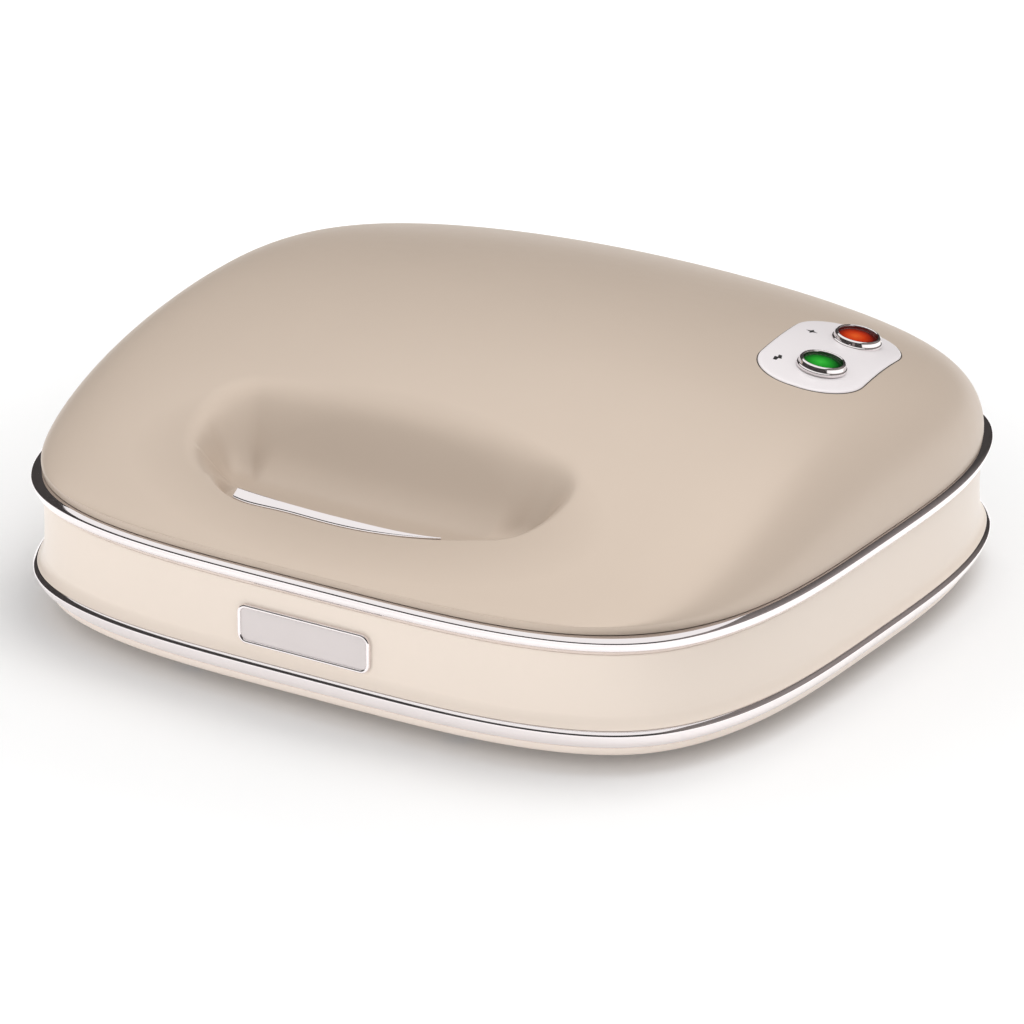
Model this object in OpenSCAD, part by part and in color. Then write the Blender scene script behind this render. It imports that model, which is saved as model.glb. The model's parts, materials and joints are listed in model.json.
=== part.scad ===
/* [View] */
// Which piece to draw

/* [Outline] */
// Half width of the upper trim edge
half_w = 125; // [110:0.5:140]
// Half depth of the upper trim edge
half_d = 115.5; // [100:0.5:130]
// Outline exponent along the width
exp_w = 3.87; // [2.2:0.01:6]
// Outline exponent along the depth
exp_d = 3.43; // [2.2:0.01:6]
// How far the corners of the two trims reach past the plain outline
corner_out = 2; // [0:0.1:4]

/* [Levels] */
// Height of the rubber feet
foot_h = 3.5; // [3:0.5:8]
// Height of the lower trim edge
low_edge_z = 13.6; // [12:0.1:18]
// Height of the parting plane between base and lid
seam_z = 35.9; // [32:0.1:40]
// Height of the upper trim edge
up_edge_z = 41.7; // [40:0.1:46]

/* [Lid] */
// Rise of the crown above its foot line
crown_h = 39.4; // [25:0.1:48]
// Sharpness of the shoulder
shoulder = 16; // [6:1:24]
// Wall of the lid moulding
lid_wall = 2.6; // [2:0.1:4]
// Width of the finger pocket
pocket_w = 118.6; // [90:0.2:126]
// Distance of the pocket's front from the trim edge
pocket_in = 18.5; // [16:0.5:24]
// Depth of the finger pocket from front to back
pocket_d = 38; // [34:0.5:40]
// Height of the pocket floor
pocket_floor = 50; // [49:0.1:56]

/* [Plates] */
// Distance from the trim edge to the plate flange at the sides
plate_in_x = 19; // [18:0.5:30]
// Part of the half depth that the plate flange leaves free
plate_in_y = 51.5; // [50.5:0.5:60]
// Centre of the plates from front to back
plate_y = 16; // [10:1:20]
// Depth of one triangular filling pocket
fill_depth = 11; // [6:0.5:12]

/* [Hinge] */
// Distance of the hinge axis in front of the rear trim edge
hinge_in = 2; // [1.5:0.5:3]
// Height of the hinge axis
hinge_z = 28; // [24:0.5:30]
// Distance of each hinge from the middle
hinge_x = 60; // [40:1:75]
// Radius of the hinge pins
pin_r = 2; // [1.5:0.1:3]

/* [Latch] */
// Length of the latch grip strip
strip_w = 69; // [40:1:70]
// Height of the latch pivot
latch_z = 44.6; // [44:0.1:46]
// Distance of the latch pivot behind the pocket's front
latch_back = 3.7; // [3:0.1:5]

/* [Lamps] */
// Distance of the lamp panel's middle from the trim edge
panel_in = 41.4; // [36:0.1:55]
// Middle of the lamp panel from front to back
panel_y = 37.3; // [20:0.1:50]
// Turn of the lamp panel
panel_turn = 8.5; // [0:0.5:15]
// Radius of the visible lens
lens_r = 5.8; // [4:0.1:7]

/* [Hidden] */
$fn = 48;
seg = 96;
ring_gap = 0.05;
fit_gap = 0.06;
hinge_y = half_d - hinge_in;
pocket_front = pocket_in - half_d;
pocket_back = pocket_front + pocket_d;
latch_y = pocket_front + latch_back;
panel_x = half_w - panel_in;
plate_w = 2 * (half_w - plate_in_x);
plate_d = 2 * (half_d - plate_in_y);
// trim ring sections
up_low_z = seam_z + 0.2;
up_low_in = 3.3;
up_ledge_in = 3.9;
up_ledge_z = up_edge_z + 0.3;
up_drop = up_edge_z - up_low_z;
ring_in = 7;
low_top_z = low_edge_z + 4.5;
low_bot_z = 8.4;
corner_pow = 7;
low_in = 6.2;
// waist and tray
waist_in = up_low_in;
waist_wall = 2.4;
waist_bot = 15.3;
waist_top = seam_z - 0.3;
ledge_in = waist_in + 3.8;
ledge_z = 31;
tray_in = low_in + 0.1;
tray_floor = 2.5;
tray_top = waist_bot - 0.1;
// decks
deck_gap = 0.4;
deck_bot = 30;
deck_in = waist_in + waist_wall + 0.15;
frame_h = 4.4;
frame_bot = seam_z + deck_gap;
frame_top = frame_bot + frame_h;
frame_in = ring_in + 0.2;
// cooking plate stack, measured from the parting plane
flange_t = 2.8;
tub_wall = 2.6;
shelf_w = 6;
plate_r = 20;
field_w = plate_w / 2 - 14;
field_d = plate_d - 22;
field_x = plate_w / 4 - 4;
ridge_w = 7;
tub_low = deck_gap + fill_depth + tub_wall;
heat_r = 3.2;
heat_z = tub_low + heat_r + 0.3;
heat_bend = plate_d / 2 - 26;
heat_x0 = 60 - plate_w / 2;
heat_x1 = plate_w / 2 - 16;
heat_end = heat_x1 + 11;
pan_w = plate_w - 18;
pan_d = plate_d - 18;
pan_low = 23.2;
pan_t = 0.8;
side_screw_x = plate_w / 2 - 2.8;
side_screw_y = plate_d / 2 - 24;
mid_screw_y = plate_d / 2 - 19;
lead_row = plate_y + pan_d / 2 + 4;
lead_col = heat_end + 2.2;
lead_step = 4.5;
lead_r = 1.3;
lead_z = seam_z - heat_z;
block_y = half_d - 29.5;
block_w = 36;
block_d = 12;
pole_x = 11;
clamp_x = 38;
// lid surface
lid_a = half_w - 3.1;
lid_b = half_d - 3.2;
lid_foot_z = up_edge_z + 2.8;
lid_base_z = up_ledge_z + 0.05;
tilt = 0.2007;
twist_c = 0.0297;
fall_x = 0.3248;
fall_y = 0.7811;
edge_pow = 1 / 1.847;
// pocket
pocket_bow = 133;
pocket_fr = 18;
pocket_br = 11;
pocket_wall = 2.4;
// latch
strip_t = 2.2;
strip_back = pocket_front + 5;
strip_slope = 28;
strip_top = 55.9;
hub_r = 2.6;
latch_pin_r = 1.5;
arm_x = 22;
arm_w = 5;
tooth_z = 25.7;
tooth_t = 2.3;
tooth_tip = latch_y + 3.5;
lip_z = 26.1;
lip_t = 1;
lip_tip = tooth_tip + 0.3;
web_y = tooth_tip + 4.2;
notch_y = web_y - 2.4;
notch_x = 30;
catch_screw_y = web_y + 5.1;
catch_back = web_y + 9.6;
// hinge
knuckle_r = 4.8;
knuckle_w = 11.6;
cheek_w = 5;
cheek_gap = 0.5;
cheek_fore = 4;
tab_z = seam_z + 0.6;
tab_t = 3;
tab_y = half_d - 25.5;
tab_screw_y = half_d - 19.5;
bracket_back = half_d - 11.9;
hinge_slot = knuckle_w / 2 + cheek_gap + cheek_w + 2.2;
// screws
post_r = 4.5;
post_x = 45;
post_y = half_d - 14.6;
pad_h = 9;
lid_post = [half_w - 50, half_d - 27.5];
foot_pos = [half_w - 43, half_d - 41.5];
foot_r = 9;
// lamps
panel_w = 31.8;
panel_d = 58.6;
panel_r = 13.5;
panel_up = 0.5;
panel_down = 1.3;
lamp_u = 2.5;
lamp_v = 13.7;
mark_u = -9.8;
bezel_r = 7.3;
bezel_h = 2.6;
lamp_tip_x = 9.6;
lamp_tip_y = 3.4;
// badge
badge_w = 44;
badge_h = 10.5;
badge_z = 24.7;
badge_t = 1.2;
// rear parts
gland_z = 24.4;
gland_r = 4.7;
gland_in = 9.9;
cord_r = 3.3;

// ---------- shared functions ----------

// parameter angle of station i, spaced so that flats and corners share the stations
function station(i) =
    let (q = seg / 4, k = floor(i / q), u = (i - k * q) / q, e = 1.5)
    90 * k + 90 * pow(u, e) / (pow(u, e) + pow(1 - u, e));

function spow(v, e) = sign(v) * pow(abs(v), e);

// unit outline point at station i
function unit_pt(i) = [spow(cos(station(i)), 2 / exp_w), spow(sin(station(i)), 2 / exp_d)];

// how near station i is to a corner, 1 at the corner itself
corner_peak = max([for (i = [0:seg / 4]) abs(unit_pt(i)[0] * unit_pt(i)[1])]);
function cornering(i) = pow(abs(unit_pt(i)[0] * unit_pt(i)[1]) / corner_peak, corner_pow);

// trim outline moved inwards by d
function outline(d) = [for (i = [0:seg - 1])
    let (p = unit_pt(i), c = [half_w * p[0], half_d * p[1]])
    [(half_w - d) * p[0], (half_d - d) * p[1]] + corner_out * cornering(i) * unit(c)];

// outline moved inwards by d, at height z
function level(d, z) = [for (p = outline(d)) [p[0], p[1], z]];

// lid surface height for unit place (x, y) on ring r
function crown(x, y, r) = lid_foot_z + crown_h * pow(1 - pow(r, shoulder), edge_pow)
    * (1 + tilt * y + twist_c * x * x * y * y - fall_x * x * x - fall_y * y * y);

function lid_ring(r, cut) = [for (i = [0:seg - 1])
    let (x = r * unit_pt(i)[0], y = r * unit_pt(i)[1])
    [(lid_a - cut) * x, (lid_b - cut) * y, crown(x, y, r) - cut]];

function mean(v) = [for (j = [0:2]) [for (p = v) p[j]] * [for (p = v) 1] / len(v)];

function unit(v) = v / norm(v);
function outward(a, b) = unit([b[1] - a[1], a[0] - b[0]]);

// convex outline with its corners rounded to radius r, k steps each
function rounded(p, r, k) = [for (i = [0:len(p) - 1])
    let (a = p[(i + len(p) - 1) % len(p)], b = p[i], c = p[(i + 1) % len(p)],
        m = outward(a, b), n = outward(b, c), o = b - (m + n) * r / (1 + m * n))
    for (j = [0:k]) o + r * unit(m * (1 - j / k) + n * (j / k))];

// convex outline moved inwards by d
function shrunk(p, d) = [for (i = [0:len(p) - 1])
    let (a = p[(i + len(p) - 1) % len(p)], b = p[i], c = p[(i + 1) % len(p)],
        m = outward(a, b), n = outward(b, c))
    b - (m + n) * d / (1 + m * n)];

function lift(p, z) = [for (v = p) [v[0], v[1], z]];

// ---------- shared shapes ----------

// closed surface through a stack of rings, lowest first
module skin(rings) {
    n = len(rings[0]);
    m = len(rings);
    pts = [for (r = rings) for (p = r) p];
    faces = concat(
        [for (j = [0:m - 2], i = [0:n - 1])
            [j * n + i, (j + 1) * n + i, j * n + (i + 1) % n]],
        [for (j = [0:m - 2], i = [0:n - 1])
            [(j + 1) * n + i, (j + 1) * n + (i + 1) % n, j * n + (i + 1) % n]],
        [for (i = [0:n - 1]) [m * n, i, (i + 1) % n]],
        [for (i = [0:n - 1]) [m * n + 1, (m - 1) * n + (i + 1) % n, (m - 1) * n + i]]);
    polyhedron(concat(pts, [mean(rings[0]), mean(rings[m - 1])]), faces, convexity = 8);
}

// section of [inset, height] pairs carried round the outline
module trim(section) {
    m = len(section);
    pts = [for (s = section) for (p = level(s[0], s[1])) p];
    faces = concat(
        [for (j = [0:m - 1], i = [0:seg - 1])
            [j * seg + i, ((j + 1) % m) * seg + i, j * seg + (i + 1) % seg]],
        [for (j = [0:m - 1], i = [0:seg - 1])
            [((j + 1) % m) * seg + i, ((j + 1) % m) * seg + (i + 1) % seg,
                j * seg + (i + 1) % seg]]);
    polyhedron(pts, faces, convexity = 8);
}

module slab(d, z0, z1) {
    translate([0, 0, z0])
        linear_extrude(z1 - z0)
            polygon(outline(d));
}

module wall(d0, d1, z0, z1) {
    translate([0, 0, z0])
        linear_extrude(z1 - z0)
            difference() {
                polygon(outline(d0));
                polygon(outline(d1));
            }
}

module rrect(w, d, r) {
    square([w - 2 * r, d], center = true);
    square([w, d - 2 * r], center = true);
    for (x = [-1, 1], y = [-1, 1])
        translate([x * (w / 2 - r), y * (d / 2 - r)])
            circle(r);
}

module block(w, d, r, z0, z1) {
    translate([0, 0, z0])
        linear_extrude(z1 - z0)
            rrect(w, d, r);
}

module cyl(p, r, z0, z1) {
    translate([p[0], p[1], z0])
        cylinder(r = r, h = z1 - z0);
}

module box(x0, x1, y0, y1, z0, z1) {
    translate([x0, y0, z0])
        cube([x1 - x0, y1 - y0, z1 - z0]);
}

// cylinder along the width, from x0 to x1
module bar(p, r, x0, x1) {
    translate([x0, p[0], p[1]])
        rotate([0, 90, 0])
            cylinder(r = r, h = x1 - x0);
}

// screw standing on its tip: head from z0 to z1, shank up to z2
module screw(p, hr, sr, z0, z1, z2) {
    difference() {
        union() {
            cyl(p, hr, z0, z1);
            cyl(p, sr, z0, z2);
        }
        translate([p[0] - hr * 0.7, p[1] - 0.4, z0 - 1])
            cube([hr * 1.4, 0.8, 1.6]);
        translate([p[0] - 0.4, p[1] - hr * 0.7, z0 - 1])
            cube([0.8, hr * 1.4, 1.6]);
    }
}

// insulated lead in one level plane through a list of points, in a round clip at each corner
module lead(p, r) {
    n = len(p);
    for (i = [0:n - 2])
        let (u = unit(p[i + 1] - p[i]), a = p[i] + (i > 0 ? u * (r + 0.1) : u * 0),
            b = p[i + 1] - (i < n - 2 ? u * (r + 0.1) : u * 0))
        translate([a[0], a[1], 0])
            rotate([0, 90, atan2(u[1], u[0])])
                cylinder(r = r, h = norm(b - a));
    for (i = [1:n - 2])
        cyl(p[i], r + 0.75, -r - 0.3, r + 0.3);
}

// the two leads of one heater, from its pins to a block behind the plate
module heater_leads(ends, end_y) {
    translate([0, 0, -heat_z])
        for (k = [0, 1])
            lead([[heat_end + 0.05, plate_y + (1 - 2 * k) * heat_bend],
                [lead_col + k * lead_step, plate_y + (1 - 2 * k) * heat_bend],
                [lead_col + k * lead_step, plate_y + heat_bend + 6 + 3 * k],
                [lead_col + k * lead_step - 15, lead_row + k * lead_step],
                [ends[k], lead_row + k * lead_step],
                [ends[k], end_y]], lead_r);
}

module both_sides() {
    children();
    mirror([1, 0, 0])
        children();
}

module four(p) {
    for (x = [-1, 1], y = [-1, 1])
        translate([x * p[0], y * p[1], 0])
            children();
}

// ---------- base ----------

module base_tray() {
    color([0.9, 0.85, 0.8])
    difference() {
        union() {
            skin([level(10.5, foot_h), level(7.4, foot_h + 0.6), level(5.6, foot_h + 1.9),
                level(4.6, low_bot_z - 0.8), level(4.3, low_bot_z - ring_gap)]);
            wall(tray_in, tray_in + tray_floor, low_bot_z - 1, tray_top);
            four([post_x, post_y])
                cyl([0, 0], post_r + 1, foot_h + 1, pad_h);
        }
        difference() {
            slab(tray_in + tray_floor, foot_h + tray_floor, tray_top + 1);
            four([post_x, post_y])
                cyl([0, 0], post_r + 1, foot_h, pad_h);
        }
        four([post_x, post_y]) {
            cyl([0, 0], 1.7, 0, 20);
            cyl([0, 0], 3.6, 0, foot_h + 2.5);
        }
        four(foot_pos) {
            cyl([0, 0], 3.05, 0, 20);
            cyl([0, 0], foot_r + 0.3, 0, foot_h + 0.8);
        }
        for (x = [-5:5], y = [-1, 1])
            translate([x * 9 - 1.5, y * 40 - 14, 0])
                cube([3, 28, 20]);
    }
}

module waist_band() {
    color([0.93, 0.88, 0.83])
    difference() {
        union() {
            wall(waist_in, waist_in + waist_wall, waist_bot, waist_top);
            wall(waist_in + 1, ledge_in, waist_bot, ledge_z);
        }
        translate([0, -half_d + waist_in + 0.6, badge_z])
            rotate([90, 0, 0])
                linear_extrude(4)
                    rrect(badge_w - 2, badge_h - 2, 2);
        both_sides()
            box(hinge_x - hinge_slot, hinge_x + hinge_slot, tab_y, hinge_y + 12,
                hinge_z - knuckle_r - 0.6, seam_z);
        translate([0, tab_y, gland_z])
            rotate([-90, 0, 0])
                cylinder(r = gland_r, h = 40);
    }
}

module lower_trim_ring() {
    color([0.8, 0.8, 0.82])
    trim([[waist_in - ring_gap, low_top_z], [2.95, low_edge_z + 3.4], [2.2, low_edge_z + 2.1],
        [1.35, low_edge_z + 1.1], [0.8, low_edge_z + 0.2], [0.9, low_edge_z - 0.4],
        [1.8, low_edge_z - 2.3], [3, low_edge_z - 4], [4.2, low_bot_z], [low_in, low_bot_z],
        [low_in, tray_top], [waist_in - ring_gap, tray_top]]);
}

module front_badge() {
    color([0.8, 0.78, 0.8])
    translate([0, -half_d + waist_in, badge_z])
        rotate([90, 0, 0])
            difference() {
                union() {
                    translate([0, 0, -0.5])
                        linear_extrude(0.7)
                            rrect(badge_w - 2.2, badge_h - 2.2, 2);
                    translate([0, 0, 0.1])
                        linear_extrude(badge_t)
                            rrect(badge_w, badge_h, 3);
                }
                translate([0, 0, badge_t - 0.4])
                    linear_extrude(2)
                        rrect(badge_w - 2.4, badge_h - 2.4, 2);
            }
}

module base_deck() {
    color([0.2, 0.19, 0.18])
    difference() {
        union() {
            slab(deck_in, ledge_z + 0.05, seam_z - deck_gap);
            slab(ledge_in + 0.2, deck_bot, seam_z - deck_gap);
            four([post_x, post_y])
                cyl([0, 0], post_r, pad_h + 0.1, deck_bot + 1);
        }
        translate([0, plate_y, 0]) {
            block(plate_w + 0.8, plate_d + 0.8, plate_r + 0.4,
                seam_z - deck_gap - flange_t - 0.1, seam_z + 1);
            block(plate_w - 2 * shelf_w, plate_d - 2 * shelf_w, plate_r - shelf_w, 0, 60);
            four([side_screw_x, side_screw_y])
                cyl([0, 0], 1.5, 0, 60);
        }
        four([post_x, post_y])
            cyl([0, 0], 1.25, 0, deck_bot - 6);
        box(-notch_x, notch_x, -half_d, notch_y, 0, seam_z);
        both_sides() {
            for (x = [-5, 5])
                cyl([hinge_x + x, tab_screw_y], 1.25, deck_bot - 1, deck_bot + 5);
            cyl([10, catch_screw_y], 1.25, deck_bot - 1, deck_bot + 5);
        }
    }
}

// triangular filling pocket outline, s = 1 front half, s = -1 rear half of one field
function half_field(s) = [for (p = [[-field_w / 2, -field_d / 2], [field_w / 2, -field_d / 2],
    [-field_w / 2, field_d / 2]]) s * p];

function pocket_ring(s, d, z) = lift(rounded(shrunk(half_field(s), d), 7, 5), z);

module filling_pockets(grow, z0, z1) {
    for (m = [0, 1])
        mirror([m, 0, 0])
            translate([field_x, 0, 0])
                for (s = [-1, 1])
                    translate(-s * [0.7, 0.7, 0])
                        skin([pocket_ring(s, ridge_w + 3 - grow, z0),
                            pocket_ring(s, ridge_w - grow, z0 + 2.2),
                            pocket_ring(s, 3.4 - grow, z1)]);
}

// one cooking plate, face up, parting plane at zero
module plate_casting() {
    translate([0, plate_y, 0])
        difference() {
            union() {
                block(plate_w, plate_d, plate_r, -deck_gap - flange_t, -deck_gap);
                filling_pockets(tub_wall, -tub_low, -deck_gap - 0.5);
                for (y = [-1, 1])
                    cyl([0, y * mid_screw_y], 3.5, -pan_low + pan_t + 0.1, -deck_gap - 1);
                cyl([0, 0], 6, -tub_low, -deck_gap - 1);
            }
            filling_pockets(0, -deck_gap - fill_depth, -deck_gap + 0.2);
            for (m = [-1, 1])
                translate([m * field_x, 0, 0])
                    block(field_w - 1, field_d - 1, 9, -deck_gap - 1, 1);
            for (y = [-1, 1])
                cyl([0, y * mid_screw_y], 1.5, -pan_low, -8);
            four([side_screw_x, side_screw_y])
                cyl([0, 0], 1.25, -9, -deck_gap - 0.8);
        }
}

module heater_tube() {
    translate([0, plate_y, -heat_z]) {
        for (y = [-1, 1]) {
            bar([y * heat_bend, 0], heat_r, heat_x0, heat_x1);
            bar([y * heat_bend, 0], 1.8, heat_x1 - 1, heat_end - 3);
            bar([y * heat_bend, 0], 1.1, heat_end - 4, heat_end);
        }
        translate([heat_x0, 0, 0])
            rotate([0, 0, 90])
                rotate_extrude(angle = 180, $fn = 96)
                    translate([heat_bend, 0])
                        circle(heat_r);
    }
}

module reflector_pan() {
    translate([0, plate_y, 0])
        difference() {
            block(pan_w, pan_d, 13, -pan_low, -deck_gap - flange_t - 0.3);
            block(pan_w - 2 * pan_t, pan_d - 2 * pan_t, 12.2, -pan_low + pan_t, 0);
            for (y = [-1, 1]) {
                cyl([0, y * mid_screw_y], 1.7, -40, 0);
                bar([y * heat_bend, -heat_z], 2.3, 60, 120);
            }
            for (x = [-3:3])
                cyl([x * 24 + 12, 0], 3, -40, 0);
        }
}

module plate_screws() {
    translate([0, plate_y, 0]) {
        four([side_screw_x, side_screw_y])
            screw([0, 0], 2.6, 1.2, deck_bot - seam_z - 2, deck_bot - seam_z - 0.05,
                -deck_gap - 1.2);
        for (y = [-1, 1])
            screw([0, y * mid_screw_y], 3, 1.45, -pan_low - 2, -pan_low - 0.05, -10);
    }
}

module at_base() {
    translate([0, 0, seam_z])
        children();
}

module at_lid() {
    translate([0, 0, seam_z])
        mirror([0, 0, 1])
            children();
}

module lower_plate() {
    color([0.16, 0.15, 0.15])
    at_base()
        plate_casting();
}

module lower_heating_element() {
    color([0.45, 0.43, 0.42])
    at_base()
        heater_tube();
}

module lower_heat_reflector() {
    color([0.75, 0.76, 0.77])
    at_base()
        reflector_pan();
}

module lower_plate_screws() {
    color([0.7, 0.7, 0.7])
    at_base()
        plate_screws();
}

module thermostat() {
    color([0.75, 0.72, 0.66])
    translate([0, plate_y, seam_z - tub_low - 0.05])
        mirror([0, 0, 1]) {
            cylinder(r = 7, h = 1);
            translate([0, 0, 0.8])
                cylinder(r = 9, h = 6.2);
            for (x = [-1, 1])
                translate([x * 11 - 3.5, -3, 4.8])
                    cube([7, 6, 0.8]);
        }
}

module thermal_fuse() {
    color([0.85, 0.85, 0.8])
    translate([40, plate_y, seam_z - tub_low - 3]) {
        bar([0, 0], 2.2, -7, 7);
        bar([0, 0], 0.6, -13, 13);
        translate([-1.5, -4, 1.9])
            cube([3, 8, 0.7]);
    }
}

module terminal_block() {
    color([0.9, 0.89, 0.84])
    difference() {
        box(-block_w / 2, block_w / 2, block_y, block_y + block_d,
            foot_h + tray_floor + 0.1, lead_z + 5);
        for (x = [-1, 0, 1]) {
            translate([x * pole_x, block_y - 5, lead_z])
                rotate([-90, 0, 0])
                    cylinder(r = 2, h = block_d + 10);
            cyl([x * pole_x, block_y + block_d / 2], 2, lead_z, lead_z + 10);
        }
    }
}

module base_wiring() {
    color([0.75, 0.2, 0.15])
    at_base()
        heater_leads([0, pole_x], block_y + 2);
}

module cable_gland() {
    color([0.12, 0.12, 0.12])
    translate([0, 0, gland_z])
        rotate([-90, 0, 0])
            difference() {
                union() {
                    translate([0, 0, half_d - gland_in])
                        cylinder(r = gland_r - 0.05, h = 8);
                    translate([0, 0, half_d - waist_in + 0.1])
                        cylinder(r = 6.05, h = 1.8);
                    translate([0, 0, half_d - waist_in + 1])
                        cylinder(r1 = 5.6, r2 = 4.6, h = 5);
                    translate([0, 0, half_d - ledge_in - 4])
                        cylinder(r = 5.5, h = 3.9);
                }
                translate([0, 0, half_d - 25])
                    cylinder(r = cord_r, h = 50);
            }
}

module foot(x, y) {
    color([0.13, 0.13, 0.13])
    difference() {
        union() {
            cyl([x * foot_pos[0], y * foot_pos[1]], foot_r, 0.8, foot_h + 0.7);
            translate([x * foot_pos[0], y * foot_pos[1], 0])
                cylinder(r1 = foot_r - 0.8, r2 = foot_r, h = 0.81);
            cyl([x * foot_pos[0], y * foot_pos[1]], 3, 2, 8.4);
            translate([x * foot_pos[0], y * foot_pos[1], 7.3])
                cylinder(r1 = 3.6, r2 = 2.6, h = 1.8);
        }
        cyl([x * foot_pos[0], y * foot_pos[1]], 3.6, -1, 1.6);
    }
}

module foot_front_left() { foot(-1, -1); }
module foot_front_right() { foot(1, -1); }
module foot_rear_left() { foot(-1, 1); }
module foot_rear_right() { foot(1, 1); }

module base_screws() {
    color([0.6, 0.6, 0.62])
    four([post_x, post_y])
        screw([0, 0], 3.2, 1.2, foot_h + 0.4, foot_h + 2.45, 22);
}

module hinge_bracket() {
    difference() {
        union() {
            box(hinge_x - 10, hinge_x + 10, tab_y, bracket_back, deck_bot - 1.6,
                deck_bot - 0.1);
            box(hinge_x - 10, hinge_x + 10, bracket_back - 2, bracket_back, 20,
                deck_bot - 0.1);
            box(hinge_x - knuckle_w / 2, hinge_x + knuckle_w / 2, bracket_back - 1.6,
                hinge_y, hinge_z - 3.4, deck_bot - 0.1);
            bar([hinge_y, hinge_z], knuckle_r, hinge_x - knuckle_w / 2,
                hinge_x + knuckle_w / 2);
        }
        bar([hinge_y, hinge_z], pin_r + 0.02, 0, 100);
        for (x = [-5, 5])
            cyl([hinge_x + x, tab_screw_y], 1.6, 0, 60);
    }
}

module hinge_bracket_left() {
    color([0.62, 0.62, 0.64])
    mirror([1, 0, 0])
        hinge_bracket();
}

module hinge_bracket_right() {
    color([0.62, 0.62, 0.64])
    hinge_bracket();
}

module hinge_pin() {
    bar([hinge_y, hinge_z], pin_r, hinge_x - 12.4, hinge_x + 12.4);
    for (x = [-12.9, 11.7])
        bar([hinge_y, hinge_z], 3.2, hinge_x + x, hinge_x + x + 1.2);
}

module hinge_pin_left() {
    color([0.75, 0.75, 0.77])
    mirror([1, 0, 0])
        hinge_pin();
}

module hinge_pin_right() {
    color([0.75, 0.75, 0.77])
    hinge_pin();
}

module bracket_screws() {
    color([0.6, 0.6, 0.62])
    both_sides()
        for (x = [-5, 5])
            screw([hinge_x + x, tab_screw_y], 2.6, 1.2, deck_bot - 3.6, deck_bot - 1.65,
                deck_bot + 4.4);
}

module catch_plate() {
    color([0.7, 0.7, 0.72])
    difference() {
        union() {
            box(-28, 28, web_y, web_y + 1, lip_z, deck_bot - 0.1);
            box(-28, 28, web_y, catch_back, deck_bot - 1.1, deck_bot - 0.1);
            for (x = [-1, 1])
                translate([x * arm_x, 0, 0])
                    box(-5, 5, lip_tip, web_y + 1, lip_z, lip_z + lip_t);
        }
        both_sides()
            cyl([10, catch_screw_y], 1.6, 0, 60);
    }
}

module catch_screws() {
    color([0.6, 0.6, 0.62])
    both_sides()
        screw([10, catch_screw_y], 2.2, 1.2, deck_bot - 3, deck_bot - 1.15, deck_bot + 4.4);
}

// ---------- lid ----------

function shoulder_ring(k, n) = 1 - pow(k / n, 2.6);

module lid_solid(cut, n, bottom) {
    skin(concat(
        [[for (p = lid_ring(1, cut)) [p[0] * 0.995, p[1] * 0.995, bottom]]],
        [for (k = [0:n - 1]) lid_ring(shoulder_ring(k, n), cut)]));
}

function arc_pts(c, r, a0, a1, n) = [for (i = [0:n])
    let (a = a0 + (a1 - a0) * i / n)
    [c[0] + r * cos(a), c[1] + r * sin(a)]];

// half of the pocket outline, from the middle of its bowed front round to its back
function pocket_half(g) =
    let (cy = pocket_front + pocket_bow, fx = pocket_w / 2 - pocket_fr,
        fy = cy - sqrt(pow(pocket_bow - pocket_fr, 2) - fx * fx),
        bend = atan2(fx, cy - fy))
    concat(arc_pts([0, cy], pocket_bow + g, -90, -90 + bend, 8),
        arc_pts([fx, fy], pocket_fr + g, -90 + bend + 3, 0, 8),
        arc_pts([pocket_w / 2 - pocket_br, pocket_back - pocket_br], pocket_br + g, 0, 90, 8));

function pocket_outline(g) =
    let (h = pocket_half(g), n = len(h))
    concat(h, [for (i = [n - 1:-1:1]) [-h[i][0], h[i][1]]]);

module pocket_shape(grow, z0, z1) {
    translate([0, 0, z0])
        linear_extrude(z1 - z0)
            polygon(pocket_outline(grow));
}

module at_panel() {
    translate([panel_x, panel_y, 0])
        rotate([0, 0, panel_turn])
            children();
}

module at_lamp(v) {
    at_panel()
        translate([lamp_u, v, lamp_top(v)])
            rotate([-lamp_tip_y, lamp_tip_x, 0])
                children();
}

// place of a lamp on the lid, then the height of the panel there
function turned(u, v) = [panel_x + u * cos(panel_turn) - v * sin(panel_turn),
    panel_y + u * sin(panel_turn) + v * cos(panel_turn)];

function lamp_top(v) =
    let (p = turned(lamp_u, v), x = p[0] / lid_a, y = p[1] / lid_b)
    crown(x, y, 0.7) + panel_up;

module lid_shell() {
    color([0.8, 0.74, 0.68])
    difference() {
        union() {
            difference() {
                lid_solid(0, 15, lid_base_z);
                lid_solid(lid_wall, 11, 20);
            }
            intersection() {
                lid_solid(0.6, 11, lid_base_z - 2);
                union() {
                    pocket_shape(pocket_wall, pocket_floor - pocket_wall, 90);
                    four(lid_post)
                        cyl([0, 0], post_r, frame_top + 0.1, 90);
                }
            }
            four(lid_post)
                cyl([0, 0], post_r, frame_top + 0.1, frame_top + 5);
        }
        pocket_shape(0, pocket_floor, 100);
        for (x = [-1, 1])
            translate([x * arm_x, 0, 0])
                box(-arm_w / 2 - 0.8, arm_w / 2 + 0.8, latch_y - 3.2, latch_y + 3.3, 40,
                    pocket_floor + 1);
        four(lid_post)
            cyl([0, 0], 1.25, 0, frame_top + 7);
        difference() {
            at_panel()
                block(panel_w + 0.3, panel_d + 0.3, panel_r + 0.15, 60, 100);
            translate([0, 0, -panel_down - 0.05])
                lid_solid(0, 11, 45);
        }
        for (v = [-1, 1])
            at_lamp(v * lamp_v)
                translate([0, 0, -15])
                    cylinder(r = lens_r - 0.3, h = 30);
    }
}

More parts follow.
